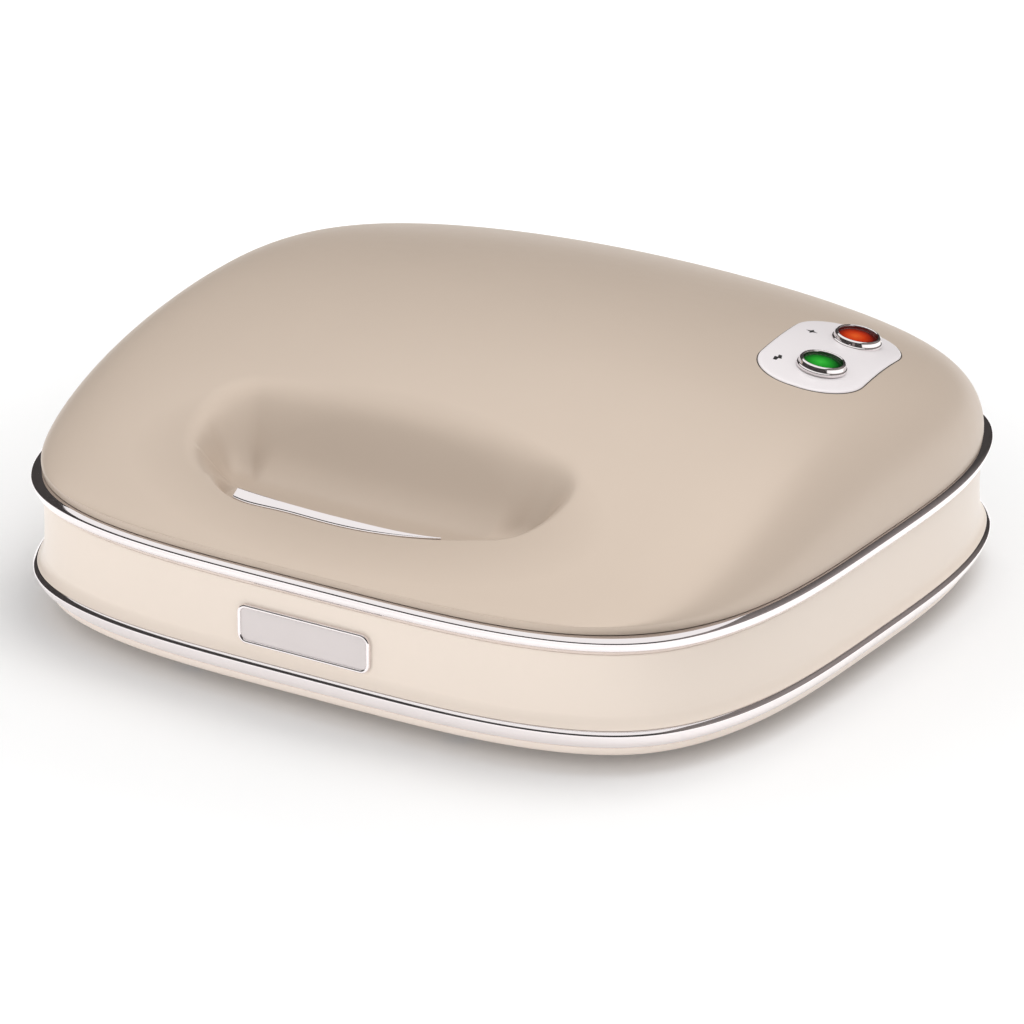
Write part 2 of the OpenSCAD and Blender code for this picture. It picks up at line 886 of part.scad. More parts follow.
module upper_trim_ring() {
    color([0.82, 0.82, 0.84])
    difference() {
        trim([[0, up_edge_z], [0.5, up_edge_z - 0.18 * up_drop],
            [1.25, up_edge_z - 0.41 * up_drop], [2.3, up_edge_z - 0.69 * up_drop],
            [up_low_in, up_low_z], [ring_in, up_low_z], [ring_in, up_ledge_z],
            [up_ledge_in, up_ledge_z], [0.3, up_ledge_z]]);
        both_sides()
            box(hinge_x - 13, hinge_x + 13, tab_y + 5, hinge_y + 12, 30,
                tab_z + tab_t + 0.2);
    }
}

module lid_frame() {
    color([0.2, 0.19, 0.18])
    difference() {
        union() {
            slab(frame_in, frame_bot, frame_top);
            both_sides() {
                for (x = [-6, 6])
                    cyl([hinge_x + x, tab_screw_y], 4, frame_top - 1, frame_top + 5);
                box(28.2, 31, latch_y - 3.5, latch_y + 3.5, frame_top - 1, latch_z + 2.4);
            }
            box(clamp_x - 6.5, clamp_x + 6.5, block_y, block_y + 6, frame_top - 1,
                2 * seam_z - lead_z + 3.5);
        }
        translate([0, plate_y, 0]) {
            block(plate_w + 0.8, plate_d + 0.8, plate_r + 0.4,
                0, seam_z + deck_gap + flange_t + 0.1);
            block(plate_w - 2 * shelf_w, plate_d - 2 * shelf_w, plate_r - shelf_w, 0, 60);
            four([side_screw_x, side_screw_y])
                cyl([0, 0], 1.5, 0, 60);
        }
        four(lid_post) {
            cyl([0, 0], 1.6, 0, 60);
            cyl([0, 0], 3.4, 0, frame_bot + 2.2);
        }
        for (x = [-1, 1])
            translate([x * arm_x, 0, 0])
                box(-arm_w / 2 - 0.8, arm_w / 2 + 0.8, latch_y - 5.7, latch_y + 5.3, 0, 60);
        both_sides() {
            box(hinge_x - 12, hinge_x + 12, tab_y - 0.3, hinge_y + 12, 0,
                tab_z + tab_t + 0.1);
            for (x = [-6, 6])
                cyl([hinge_x + x, tab_screw_y], 1.25, 0, frame_top + 3.6);
        }
        bar([latch_y, latch_z], latch_pin_r + 0.02, -60, 60);
        for (x = [-3, 3])
            translate([clamp_x + x, block_y - 5, 2 * seam_z - lead_z])
                rotate([-90, 0, 0])
                    cylinder(r = lead_r + 0.3, h = 20);
    }
}

module upper_plate() {
    color([0.16, 0.15, 0.15])
    at_lid()
        plate_casting();
}

module upper_heating_element() {
    color([0.45, 0.43, 0.42])
    at_lid()
        heater_tube();
}

module upper_heat_reflector() {
    color([0.75, 0.76, 0.77])
    at_lid()
        reflector_pan();
}

module upper_plate_screws() {
    color([0.7, 0.7, 0.7])
    at_lid()
        translate([0, plate_y, 0]) {
            four([side_screw_x, side_screw_y])
                screw([0, 0], 2.6, 1.2, seam_z - frame_top - 2, seam_z - frame_top - 0.05,
                    -deck_gap - 1.2);
            for (y = [-1, 1])
                screw([0, y * mid_screw_y], 3, 1.45, -pan_low - 2, -pan_low - 0.05, -10);
        }
}

module lamp_panel() {
    color([0.92, 0.9, 0.9])
    difference() {
        intersection() {
            at_panel()
                block(panel_w, panel_d, panel_r, 60, 100);
            translate([0, 0, panel_up])
                lid_solid(0, 15, 45);
        }
        translate([0, 0, -panel_down])
            lid_solid(0, 11, 44);
        for (v = [-1, 1])
            at_lamp(v * lamp_v)
                translate([0, 0, -10])
                    cylinder(r = lens_r - 0.3, h = 30);
    }
}

module bezel(v) {
    color([0.82, 0.82, 0.84])
    at_lamp(v)
        rotate_extrude()
            polygon([[lens_r - 0.1, 0.5], [bezel_r, 0.5], [bezel_r, 0.9],
                [bezel_r - 0.5, bezel_h - 0.5], [lens_r + 0.5, bezel_h], [lens_r + 0.05, bezel_h],
                [lens_r + 0.05, bezel_h - 0.9], [lens_r - 0.1, bezel_h - 1]]);
}

module lens(v) {
    at_lamp(v)
        rotate_extrude()
            polygon([[0, -2.5], [lens_r - 0.4, -2.5], [lens_r - 0.4, bezel_h - 1.1],
                [lens_r - 0.2, bezel_h - 0.8], [lens_r - 0.05, bezel_h - 0.75],
                [lens_r - 0.2, bezel_h - 0.4], [lens_r * 0.6, bezel_h], [0, bezel_h + 0.25]]);
}

module red_bezel() { bezel(lamp_v); }
module green_bezel() { bezel(-lamp_v); }

module red_lens() {
    color([0.85, 0.2, 0.05])
    lens(lamp_v);
}

module green_lens() {
    color([0.1, 0.6, 0.15])
    lens(-lamp_v);
}

module neon_lamps() {
    color([0.95, 0.7, 0.5])
    for (v = [-1, 1])
        at_lamp(v * lamp_v)
            translate([0, 0, -6.6]) {
                bar([0, 0], 2.2, -5, 5);
                translate([5, 0, 0])
                    sphere(r = 2.2);
                translate([-6.5, -2.5, -2.5])
                    cube([2, 5, 5]);
            }
}

module hinge_arm() {
    difference() {
        union() {
            for (s = [-1, 1])
                translate([s * (knuckle_w / 2 + cheek_gap + cheek_w / 2), 0, 0]) {
                    bar([hinge_y, hinge_z], knuckle_r, hinge_x - cheek_w / 2,
                        hinge_x + cheek_w / 2);
                    box(hinge_x - cheek_w / 2, hinge_x + cheek_w / 2, hinge_y - cheek_fore,
                        hinge_y + 2, hinge_z, tab_z + tab_t);
                }
            box(hinge_x - 11.3, hinge_x + 11.3, hinge_y - cheek_fore, hinge_y + 2,
                hinge_z + knuckle_r + 1, tab_z + tab_t);
            box(hinge_x - 11.3, hinge_x + 11.3, tab_y, hinge_y, tab_z, tab_z + tab_t);
        }
        bar([hinge_y, hinge_z], pin_r + fit_gap, 0, 100);
        for (x = [-6, 6])
            cyl([hinge_x + x, tab_screw_y], 1.6, 0, 60);
    }
}

module hinge_arm_left() {
    color([0.62, 0.62, 0.64])
    mirror([1, 0, 0])
        hinge_arm();
}

module hinge_arm_right() {
    color([0.62, 0.62, 0.64])
    hinge_arm();
}

module arm_screws() {
    color([0.6, 0.6, 0.62])
    both_sides()
        for (x = [-6, 6])
            difference() {
                cyl([hinge_x + x, tab_screw_y], 1.2, seam_z - 0.1, frame_top + 3);
                cyl([hinge_x + x, tab_screw_y], 0.7, seam_z - 1, seam_z + 0.9);
            }
}

module lid_screws() {
    color([0.6, 0.6, 0.62])
    four(lid_post)
        screw([0, 0], 3, 1.2, frame_bot + 0.2, frame_bot + 2.15, frame_top + 6);
}

module lid_wiring() {
    color([0.75, 0.2, 0.15])
    at_lid()
        heater_leads([clamp_x - 3, clamp_x + 3], block_y + 2);
}

// ---------- latch ----------

module latch_lever() {
    color([0.82, 0.82, 0.84])
    difference() {
        union() {
            intersection() {
                pocket_shape(-0.35, pocket_floor + 0.8, strip_top);
                box(-strip_w / 2, strip_w / 2, -half_d, strip_back, 0, 90);
                translate([0, strip_back, strip_top])
                    rotate([strip_slope, 0, 0])
                        translate([-strip_w, -30, -20])
                            cube([2 * strip_w, 60, 20]);
            }
            for (x = [-1, 1])
                translate([x * arm_x, 0, 0]) {
                    box(-arm_w / 2, arm_w / 2, latch_y - strip_t / 2, latch_y + strip_t / 2,
                        tooth_z - tooth_t, pocket_floor + 1);
                    box(-arm_w / 2, arm_w / 2, latch_y, tooth_tip,
                        tooth_z - tooth_t, tooth_z);
                    bar([latch_y, latch_z], hub_r, -arm_w / 2 - 3, arm_w / 2 + 3);
                }
        }
        bar([latch_y, latch_z], latch_pin_r + fit_gap, -60, 60);
    }
}

module latch_pin() {
    color([0.75, 0.75, 0.77])
    bar([latch_y, latch_z], latch_pin_r, -31.5, 31.5);
}

module latch_spring() {
    color([0.6, 0.6, 0.62])
    for (i = [0:7])
        translate([-4.2 + i * 1.2, latch_y, latch_z])
            rotate([0, 90, 0])
                rotate_extrude()
                    translate([2.2, 0])
                        circle(0.45, $fn = 16);
}

// ---------- assembly ----------

base_tray();
waist_band();
lower_trim_ring();
front_badge();
base_deck();
lower_plate();
lower_heating_element();
lower_heat_reflector();
lower_plate_screws();
thermostat();
thermal_fuse();
terminal_block();
base_wiring();
cable_gland();
foot_front_left();
foot_front_right();
foot_rear_left();
foot_rear_right();
base_screws();
hinge_bracket_left();
hinge_bracket_right();
hinge_pin_left();
hinge_pin_right();
bracket_screws();
catch_plate();
catch_screws();
lid_shell();
upper_trim_ring();
lid_frame();
upper_plate();
upper_heating_element();
upper_heat_reflector();
upper_plate_screws();
lamp_panel();
red_lens();
green_lens();
red_bezel();
green_bezel();
neon_lamps();
hinge_arm_left();
hinge_arm_right();
arm_screws();
lid_screws();
lid_wiring();
latch_lever();
latch_pin();
latch_spring();
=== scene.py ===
import json
import math

import bmesh
import bpy
import numpy as np
from mathutils import Matrix, Vector

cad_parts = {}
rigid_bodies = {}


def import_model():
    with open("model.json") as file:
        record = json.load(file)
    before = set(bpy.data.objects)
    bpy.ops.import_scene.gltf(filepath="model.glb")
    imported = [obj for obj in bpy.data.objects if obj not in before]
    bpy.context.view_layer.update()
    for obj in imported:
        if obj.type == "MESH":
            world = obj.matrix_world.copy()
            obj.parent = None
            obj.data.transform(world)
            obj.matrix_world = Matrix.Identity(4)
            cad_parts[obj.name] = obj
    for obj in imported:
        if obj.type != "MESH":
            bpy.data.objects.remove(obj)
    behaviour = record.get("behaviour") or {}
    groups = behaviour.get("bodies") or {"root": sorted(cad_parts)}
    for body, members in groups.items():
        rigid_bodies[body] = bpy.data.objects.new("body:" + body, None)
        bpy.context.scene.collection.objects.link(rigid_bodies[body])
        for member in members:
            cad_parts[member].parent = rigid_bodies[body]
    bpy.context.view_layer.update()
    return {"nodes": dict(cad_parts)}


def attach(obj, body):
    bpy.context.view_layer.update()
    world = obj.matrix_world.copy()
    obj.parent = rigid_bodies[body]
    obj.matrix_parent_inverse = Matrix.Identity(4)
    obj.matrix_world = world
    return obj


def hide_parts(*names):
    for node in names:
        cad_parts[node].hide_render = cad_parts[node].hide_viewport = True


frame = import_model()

MM = 0.001

# Sizes are in mm, as in the CAD model, unless a comment says metres. Sections are lists of
# (inset from the trim's edge, height).

# ---------- plan and dome ----------

# CAD outline: half sizes and exponents of a superellipse
HALF_W, HALF_D = 125.0, 115.5
EXP_W, EXP_D = 3.87, 3.43
# trim edges: half sizes, how far the corners stand out and how narrow that is
TRIM_W, TRIM_D = 123.6, 114.0
CORNER_OUT, CORNER_POW = 1.35, 9.5
# dome: half sizes, height at its edge, rise, exponents of the shoulder
LID_A, LID_B = HALF_W - 3.1, HALF_D - 3.2
CROWN_Z = 44.5
CROWN_H = 39.4
SHOULDER, SHOULDER_ROOT = 16, 1.847
# form of the top: rise to the back, fill of the corners, fall along the width and the depth
TOP_TILT, TOP_FILL, TOP_FALL_W, TOP_FALL_D = 0.2007, 0.0297, 0.3248, 0.7811
BISECTIONS = 44


def spow(v, e):
    """Power of the size of v that keeps its sign."""
    return np.sign(v) * np.abs(v) ** e


def even_stations(count):
    """Angles of count points at even distances along the CAD outline."""
    t = np.linspace(0, 2 * math.pi, 7201)
    x = HALF_W * spow(np.cos(t), 2 / EXP_W)
    y = HALF_D * spow(np.sin(t), 2 / EXP_D)
    run = np.concatenate([[0], np.cumsum(np.hypot(np.diff(x), np.diff(y)))])
    return np.interp(np.linspace(0, run[-1], count, endpoint=False), run, t)


def corner_peak():
    """Largest product of the outline's two unit coordinates, reached in its corners."""
    t = np.linspace(0, math.pi / 2, 2001)
    return float(np.max(np.cos(t) ** (2 / EXP_W) * np.sin(t) ** (2 / EXP_D)))


CORNER_PEAK = corner_peak()
STATIONS = even_stations(480)


def outline(t, inset):
    """Points of the trim outline, moved inward by inset."""
    u, v = spow(np.cos(t), 2 / EXP_W), spow(np.sin(t), 2 / EXP_D)
    out = CORNER_OUT * (np.abs(u * v) / CORNER_PEAK) ** CORNER_POW
    out = out / np.hypot(TRIM_W * u, TRIM_D * v)
    return np.stack([(TRIM_W - inset + out * TRIM_W) * u,
                     (TRIM_D - inset + out * TRIM_D) * v], axis=-1)


def bisect(short, shape, top):
    """For each element, the value from 0 to top where short(value) stops being true."""
    lo, hi = np.zeros(shape), np.full(shape, top)
    for _ in range(BISECTIONS):
        mid = (lo + hi) / 2
        more = short(mid)
        lo, hi = np.where(more, mid, lo), np.where(more, hi, mid)
    return (lo + hi) / 2


def gauge(x, y):
    """0 in the middle of the lid, 1 on its edge."""
    ax, ay = np.abs(np.asarray(x, float)) / LID_A, np.abs(np.asarray(y, float)) / LID_B
    return bisect(lambda level: (ax / level) ** EXP_W + (ay / level) ** EXP_D >= 1,
                  np.broadcast(ax, ay).shape, 2.0)


def crown(x, y):
    """Heights of the lid's outside over points of the plan."""
    r = np.minimum(gauge(x, y), 1.0)
    u, v = np.asarray(x) / LID_A, np.asarray(y) / LID_B
    form = 1 + TOP_TILT * v + TOP_FILL * u * u * v * v - TOP_FALL_W * u * u - TOP_FALL_D * v * v
    return CROWN_Z + CROWN_H * (1 - r ** SHOULDER) ** (1 / SHOULDER_ROOT) * form


def crown_at(x, y):
    """The same height over a single point."""
    return float(crown(np.array([x]), np.array([y]))[0])


# ---------- curves and point helpers ----------

def smooth(t):
    """Step from 0 to 1 that starts and ends without a crease."""
    t = np.clip(t, 0, 1)
    return t * t * t * (t * (6 * t - 15) + 10)


def blurred(values, times):
    """Closed run of values, averaged with their neighbours."""
    for _ in range(times):
        values = (np.roll(values, 1) + values + np.roll(values, -1)) / 3
    return values


def fillet(points, steps=4):
    """Closed section of (radius, height, rounding) points with its corners rounded."""
    out = []
    for i, (x, y, r) in enumerate(points):
        p = np.array((x, y), float)
        a = np.array(points[i - 1][:2], float) - p
        b = np.array(points[(i + 1) % len(points)][:2], float) - p
        la, lb = np.linalg.norm(a), np.linalg.norm(b)
        turn = math.pi - math.acos(np.clip(a @ b / la / lb, -1, 1))
        if r <= 0 or turn < 0.05:
            out.append(p)
            continue
        back = min(r * math.tan(turn / 2), 0.45 * la, 0.45 * lb)
        p0, p1 = p + a / la * back, p + b / lb * back
        for k in range(steps + 1):
            s = k / steps
            out.append((1 - s) ** 2 * p0 + 2 * s * (1 - s) * p + s * s * p1)
    return out


def spline(points, steps=4):
    """Smooth curve through open section points, as tuples."""
    p = [np.array(q, float) for q in points]
    p = [2 * p[0] - p[1]] + p + [2 * p[-1] - p[-2]]
    out = []
    for i in range(1, len(p) - 2):
        for k in range(steps):
            s = k / steps
            out.append(0.5 * (2 * p[i] + (p[i + 1] - p[i - 1]) * s
                              + (2 * p[i - 1] - 5 * p[i] + 4 * p[i + 1] - p[i + 2]) * s * s
                              + (3 * p[i] - p[i - 1] - 3 * p[i + 1] + p[i + 2]) * s ** 3))
    out.append(p[-2])
    return [tuple(q) for q in out]


def carried(section, t):
    """Points of a section carried round the trim outline."""
    return np.concatenate([np.column_stack([outline(t, d), np.full(len(t), float(z))])
                           for d, z in section])


def turned(section, count):
    """Points of a turned form from (radius, height) points."""
    a = np.linspace(0, 2 * math.pi, count, endpoint=False)
    return np.concatenate([np.column_stack([r * np.cos(a), r * np.sin(a),
                                            np.full(count, float(z))]) for r, z in section])


def placed(verts, matrix):
    """Points moved by a matrix."""
    m = np.array(matrix)
    return np.asarray(verts) @ m[:3, :3].T + m[:3, 3]


def rounded_rect(w, d, r, count):
    """Points of a rectangle whose corners have count points each."""
    pts = []
    for k, (sx, sy) in enumerate([(1, 1), (-1, 1), (-1, -1), (1, -1)]):
        for a in np.linspace(k * 90, k * 90 + 90, count):
            pts.append((sx * (w / 2 - r) + r * math.cos(math.radians(a)),
                        sy * (d / 2 - r) + r * math.sin(math.radians(a))))
    return np.array(pts)


def evenly(loop, count):
    """The same closed outline with points at even distances."""
    closed = np.concatenate([loop, loop[:1]])
    run = np.concatenate([[0], np.cumsum(np.hypot(*np.diff(closed, axis=0).T))])
    at = np.linspace(0, run[-1], count, endpoint=False)
    return np.column_stack([np.interp(at, run, closed[:, k]) for k in (0, 1)])


def disc_points(x, y, r, count=32):
    a = np.linspace(0, 2 * math.pi, count, endpoint=False)
    return [(x + r * math.cos(k), y + r * math.sin(k)) for k in a]


# ---------- mesh helpers ----------

def band_faces(rows, cols, closed=False):
    """Quads between rows of looped points; closed joins the last row to the first."""
    out = []
    for r in range(rows if closed else rows - 1):
        for c in range(cols):
            a, b = r * cols, ((r + 1) % rows) * cols
            out.append((a + c, a + (c + 1) % cols, b + (c + 1) % cols, b + c))
    return out


def capped_faces(rows, cols):
    """Quads between rows of looped points, and one face over the last row."""
    return band_faces(rows, cols) + [tuple(range((rows - 1) * cols, rows * cols))]


def mesh_object(name, verts, faces):
    """A mesh in the scene from points in mm."""
    mesh = bpy.data.meshes.new(name)
    mesh.from_pydata([tuple(v) for v in np.asarray(verts) * MM], [], faces)
    obj = bpy.data.objects.new(name, mesh)
    bpy.context.scene.collection.objects.link(obj)
    return obj


def finish_piece(obj, material, body, angle=35, replaced=(), slot=None):
    """Cleans and shades a mesh, gives it its material, ties it to its body and hides the nodes it
    replaces; slot is not used.
    """
    mesh = obj.data
    work = bmesh.new()
    work.from_mesh(mesh)
    bmesh.ops.remove_doubles(work, verts=work.verts, dist=1e-7)
    bmesh.ops.recalc_face_normals(work, faces=work.faces)
    work.to_mesh(mesh)
    work.free()
    mesh.shade_smooth()
    mesh.set_sharp_from_angle(angle=math.radians(angle))
    mesh.materials.clear()
    mesh.materials.append(material)
    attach(obj, body)
    if replaced:
        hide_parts(*replaced)


def piece(name, verts, faces, material, body, **finish):
    """A named piece that rides on a body."""
    obj = mesh_object(name, verts, faces)
    obj.data.validate()
    finish_piece(obj, material, body, **finish)
    return obj


def loft(name, section, material, body, **finish):
    """Piece with a closed section that runs round the whole outline."""
    return piece(name, carried(section, STATIONS), band_faces(len(section), len(STATIONS), True),
                 material, body, **finish)


def prism(points, z0, z1):
    """Points and faces of an upright prism."""
    n = len(points)
    verts = [(x, y, z0) for x, y in points] + [(x, y, z1) for x, y in points]
    return verts, [tuple(range(n))[::-1], tuple(range(n, 2 * n))] + band_faces(2, n)


def cutter(verts, faces):
    return mesh_object("cutter", verts, faces)


def box_cutter(x0, x1, y0, y1, z0, z1):
    return cutter(*prism([(x0, y0), (x1, y0), (x1, y1), (x0, y1)], z0, z1))


def cut(obj, cutters):
    """Takes cutter meshes out of a piece, then removes them."""
    for other in cutters:
        mod = obj.modifiers.new("cut", "BOOLEAN")
        mod.object = other
        mod.operation = "DIFFERENCE"
        mod.solver = "EXACT"
    mesh = bpy.data.meshes.new_from_object(
        obj.evaluated_get(bpy.context.evaluated_depsgraph_get()))
    obj.modifiers.clear()
    obj.data = mesh
    for other in cutters:
        bpy.data.objects.remove(other)


# ---------- materials ----------

def srgb(r, g, b):
    """Linear colour with alpha from 0 to 255 display values."""
    return tuple((c / 255 / 12.92 if c <= 10 else ((c / 255 + 0.055) / 1.055) ** 2.4)
                 for c in (r, g, b)) + (1.0,)


def combine(tree, operation, *values):
    """Output of a math node; each value is a socket or a number."""
    node = tree.nodes.new("ShaderNodeMath")
    node.operation = operation
    for socket, value in zip(node.inputs, values):
        if isinstance(value, float):
            socket.default_value = value
        else:
            tree.links.new(value, socket)
    return node.outputs[0]


class Nodes:
    """Short calls for building one material's node tree; lengths in it are in metres."""

    def __init__(self, name):
        self.material = bpy.data.materials.new(name)
        self.material.use_nodes = True
        self.tree = self.material.node_tree
        self.shader = self.tree.nodes["Principled BSDF"]
        self.object = self.add("ShaderNodeTexCoord").outputs["Object"]

    def add(self, kind, **values):
        """A new node; a value sets the attribute of its name, or else the input."""
        node = self.tree.nodes.new(kind)
        for key, value in values.items():
            if hasattr(node, key):
                setattr(node, key, value)
            else:
                node.inputs[key.replace("_", " ")].default_value = value
        return node

    def link(self, a, b):
        self.tree.links.new(a, b)

    def set(self, **values):
        """Sets the shader's own sockets."""
        for key, value in values.items():
            self.shader.inputs[key.replace("_", " ")].default_value = value

    def noise(self, scale, detail, stretch=None):
        node = self.add("ShaderNodeTexNoise", Scale=scale, Detail=detail, Roughness=0.55)
        source = self.object
        if stretch:
            scaled = self.add("ShaderNodeMapping", Scale=stretch)
            self.link(source, scaled.inputs["Vector"])
            source = scaled.outputs["Vector"]
        self.link(source, node.inputs["Vector"])
        return node.outputs["Fac"]

    def ramp(self, value, stops):
        """A colour ramp; stops are (position, colour)."""
        node = self.add("ShaderNodeValToRGB")
        elements = node.color_ramp.elements
        while len(elements) < len(stops):
            elements.new(0.5)
        for element, (at, colour) in zip(elements, stops):
            element.position = at
            element.color = colour
        self.link(value, node.inputs["Fac"])
        return node.outputs["Color"]

    def roughness(self, value, low, high):
        """Roughness that follows a value from 0 to 1."""
        node = self.add("ShaderNodeMapRange", To_Min=low, To_Max=high)
        self.link(value, node.inputs["Value"])
        self.link(node.outputs["Result"], self.shader.inputs["Roughness"])

    def bump(self, value, strength, distance):
        node = self.add("ShaderNodeBump", Strength=strength, Distance=distance)
        self.link(value, node.inputs["Height"])
        self.link(node.outputs["Normal"], self.shader.inputs["Normal"])

    def tone(self, value, colour, spread):
        """Slow variation of the base colour by plus or minus spread."""
        dark = tuple(c * (1 - spread) for c in colour[:3]) + (1,)
        light = tuple(min(1, c * (1 + spread)) for c in colour[:3]) + (1,)
        self.link(self.ramp(value, [(0.3, dark), (0.7, light)]), self.shader.inputs["Base Color"])

    def painted_shade(self, offset, radii, depth):
        """Painted shade: slightly darker base colour in a soft oval over a recess."""
        place = self.add("ShaderNodeMapping",
                         Location=(offset[0] / radii[0], offset[1] / radii[1], 0),
                         Scale=(1 / radii[0], 1 / radii[1], 0))
        self.link(self.object, place.inputs["Vector"])
        oval = self.add("ShaderNodeTexGradient", gradient_type="SPHERICAL")
        self.link(place.outputs["Vector"], oval.inputs["Vector"])
        painted_dark = self.ramp(oval.outputs["Fac"], [(0.0, (1, 1, 1, 1)),
                                              (0.34, (depth, depth * 0.99, depth * 0.98, 1))])
        mix = self.add("ShaderNodeMix", data_type="RGBA", blend_type="MULTIPLY", Factor=1.0)
        base = self.shader.inputs["Base Color"]
        self.link(base.links[0].from_socket, mix.inputs[6])
        self.link(painted_dark, mix.inputs[7])
        self.link(mix.outputs[2], base)


def lacquer(name, colour, rough, coat, grain=900, spread=0.01, metallic=0.0, painted_shade=None):
    """Glossy moulded or sprayed finish with faint orange peel and tone drift, and a painted shade
    where one is given.
    """
    n = Nodes(name)
    n.set(Metallic=metallic, Coat_Weight=coat, Coat_Roughness=0.2, IOR=1.46)
    n.tone(n.noise(14, 2), colour, spread)
    n.roughness(n.noise(220, 4), rough * 0.85, rough * 1.15)
    n.bump(n.noise(grain, 2), 0.03, 0.00002)
    # painted shade, where one is given
    if painted_shade:
        n.painted_shade(*painted_shade)
    return n.material


def metal(name, colour, rough, grain=500, bump=0.02, spread=0.02, stretch=None):
    """Metal with fine scratches or drawing marks."""
    n = Nodes(name)
    n.set(Metallic=1.0)
    n.tone(n.noise(40, 3), colour, spread)
    n.roughness(n.noise(grain, 5, stretch), rough * 0.7, rough * 1.35)
    n.bump(n.noise(grain * 1.5, 4, stretch), bump, 0.00002)
    return n.material


def moulded(name, colour, rough, grain=2600, bump=0.25):
    """Moulded plastic or rubber with a fine spark-eroded grain."""
    n = Nodes(name)
    n.tone(n.noise(30, 3), colour, 0.04)
    n.roughness(n.noise(300, 4), rough * 0.85, min(1, rough * 1.15))
    n.bump(n.noise(grain, 3), bump, 0.00004)
    return n.material


def nonstick():
    """Dark sprayed coating: fine speckle, slight gloss, faint use marks."""
    n = Nodes("coated_plate")
    n.set(IOR=1.5, Coat_Weight=0.25, Coat_Roughness=0.25)
    n.link(n.ramp(n.noise(2200, 2), [(0.35, srgb(34, 33, 33)), (0.62, srgb(46, 45, 44)),
                                     (0.75, srgb(84, 82, 80))]),
           n.shader.inputs["Base Color"])
    n.roughness(n.noise(60, 5), 0.32, 0.5)
    n.bump(n.noise(1500, 4), 0.35, 0.00006)
    return n.material


def heater_tube():
    """Oxidised steel tube with heat tint."""
    n = Nodes("heater")
    n.set(Metallic=1.0)
    n.link(n.ramp(n.noise(45, 4), [(0.3, srgb(92, 84, 78)), (0.55, srgb(126, 112, 98)),
                                   (0.75, srgb(108, 104, 116))]),
           n.shader.inputs["Base Color"])
    n.roughness(n.noise(700, 4), 0.4, 0.62)
    n.bump(n.noise(1800, 3), 0.2, 0.00003)
    return n.material


# radius of a lens
LENS_R = 5.8


def lens_glass(name, colours):
    """Coloured cap over a lit reflector: its own red or green, with the reflector's light painted
    in as a bright lower heart and shade painted in as a dark rim, in base colour and glow alike.
    """
    n = Nodes(name)
    n.set(Roughness=0.16, IOR=1.2, Coat_Weight=0.05, Coat_Roughness=0.05, Emission_Strength=0.06)
    across = 1 / (LENS_R * MM)
    shifted = n.add("ShaderNodeMapping", Scale=(across, across, 0), Location=(0.02, 0.34, 0))
    n.link(n.object, shifted.inputs["Vector"])
    centre = n.add("ShaderNodeVectorMath", operation="LENGTH")
    n.link(shifted.outputs["Vector"], centre.inputs[0])
    facets = n.add("ShaderNodeTexVoronoi", Scale=900)
    n.link(n.object, facets.inputs["Vector"])
    far = combine(n.tree, "MULTIPLY_ADD", facets.outputs["Distance"], 0.08,
                  centre.outputs["Value"])
    # painted light and shade: bright lower heart, dark rim
    colour = n.ramp(far, list(zip((0.1, 0.5, 0.85, 1.15), colours)))
    n.link(colour, n.shader.inputs["Base Color"])
    n.link(colour, n.shader.inputs["Emission Color"])
    n.bump(facets.outputs["Distance"], 0.12, 0.0001)
    return n.material


# painted shade in the finger pocket: way back to the origin and radii in metres, share of the tone
# left
POCKET_PAINTED_SHADE = ((0.0, 0.079), (0.078, 0.031), 0.86)

TAUPE = lacquer("taupe_lid", srgb(206, 189, 173), 0.42, 0.1, grain=700, spread=0.012,
                metallic=0.15, painted_shade=POCKET_PAINTED_SHADE)
CREAM_BAND = lacquer("cream_band", srgb(240, 226, 213), 0.36, 0.2)
# painted light: the base's cream is made lighter than the band's, to make up for the shade at the
# foot
CREAM_SHELL_PAINTED_LIGHT = lacquer("cream_shell", srgb(250, 236, 224), 0.4, 0.15)
PANEL_WHITE = lacquer("panel_white", srgb(236, 230, 231), 0.32, 0.3, spread=0.008)
CHROME = metal("bright_chrome", srgb(240, 234, 234), 0.05, grain=900, bump=0.008, spread=0.01)
BADGE_SATIN = metal("badge_satin", srgb(213, 206, 205), 0.36, grain=1400, bump=0.05,
                    stretch=(1, 1, 14))
DECK = moulded("dark_deck", srgb(42, 40, 39), 0.5)
PLATE = nonstick()
HEATER = heater_tube()
SHEET = metal("bright_sheet", srgb(206, 206, 208), 0.28, grain=300, stretch=(1, 8, 1))
ZINC = metal("zinc_steel", srgb(196, 196, 200), 0.3, grain=800)
HINGE = metal("hinge_steel", srgb(176, 176, 180), 0.38, grain=600, bump=0.05)
THERMO = moulded("thermo", srgb(214, 206, 190), 0.4, bump=0.1)
FUSE = moulded("fuse", srgb(222, 220, 208), 0.45, bump=0.1)
BLOCK = moulded("block", srgb(232, 228, 214), 0.42, bump=0.12)
LEAD = moulded("lead_red", srgb(168, 52, 38), 0.42, grain=1800, bump=0.2)
RUBBER = moulded("black_rubber", srgb(38, 38, 38), 0.72, grain=2000, bump=0.3)
NEON = moulded("neon", srgb(236, 190, 150), 0.2, bump=0.02)
SPRING = metal("spring_steel", srgb(180, 180, 184), 0.25, grain=1200, stretch=(10, 1, 1))
# dark strip round the lamp plate: a painted shadow in the gap
GAP_PAINTED_SHADOW = moulded("painted_gap_shadow", srgb(66, 58, 52), 0.7)
MARK_INK = moulded("mark_ink", srgb(40, 38, 38), 0.45, bump=0.05)
RED_LENS = lens_glass("red_clear", [srgb(208, 84, 34), srgb(186, 52, 16), srgb(124, 24, 8),
                                    srgb(72, 8, 4)])
GREEN_LENS = lens_glass("green_clear", [srgb(52, 172, 56), srgb(30, 140, 38), srgb(12, 88, 24),
                                        srgb(4, 48, 12)])

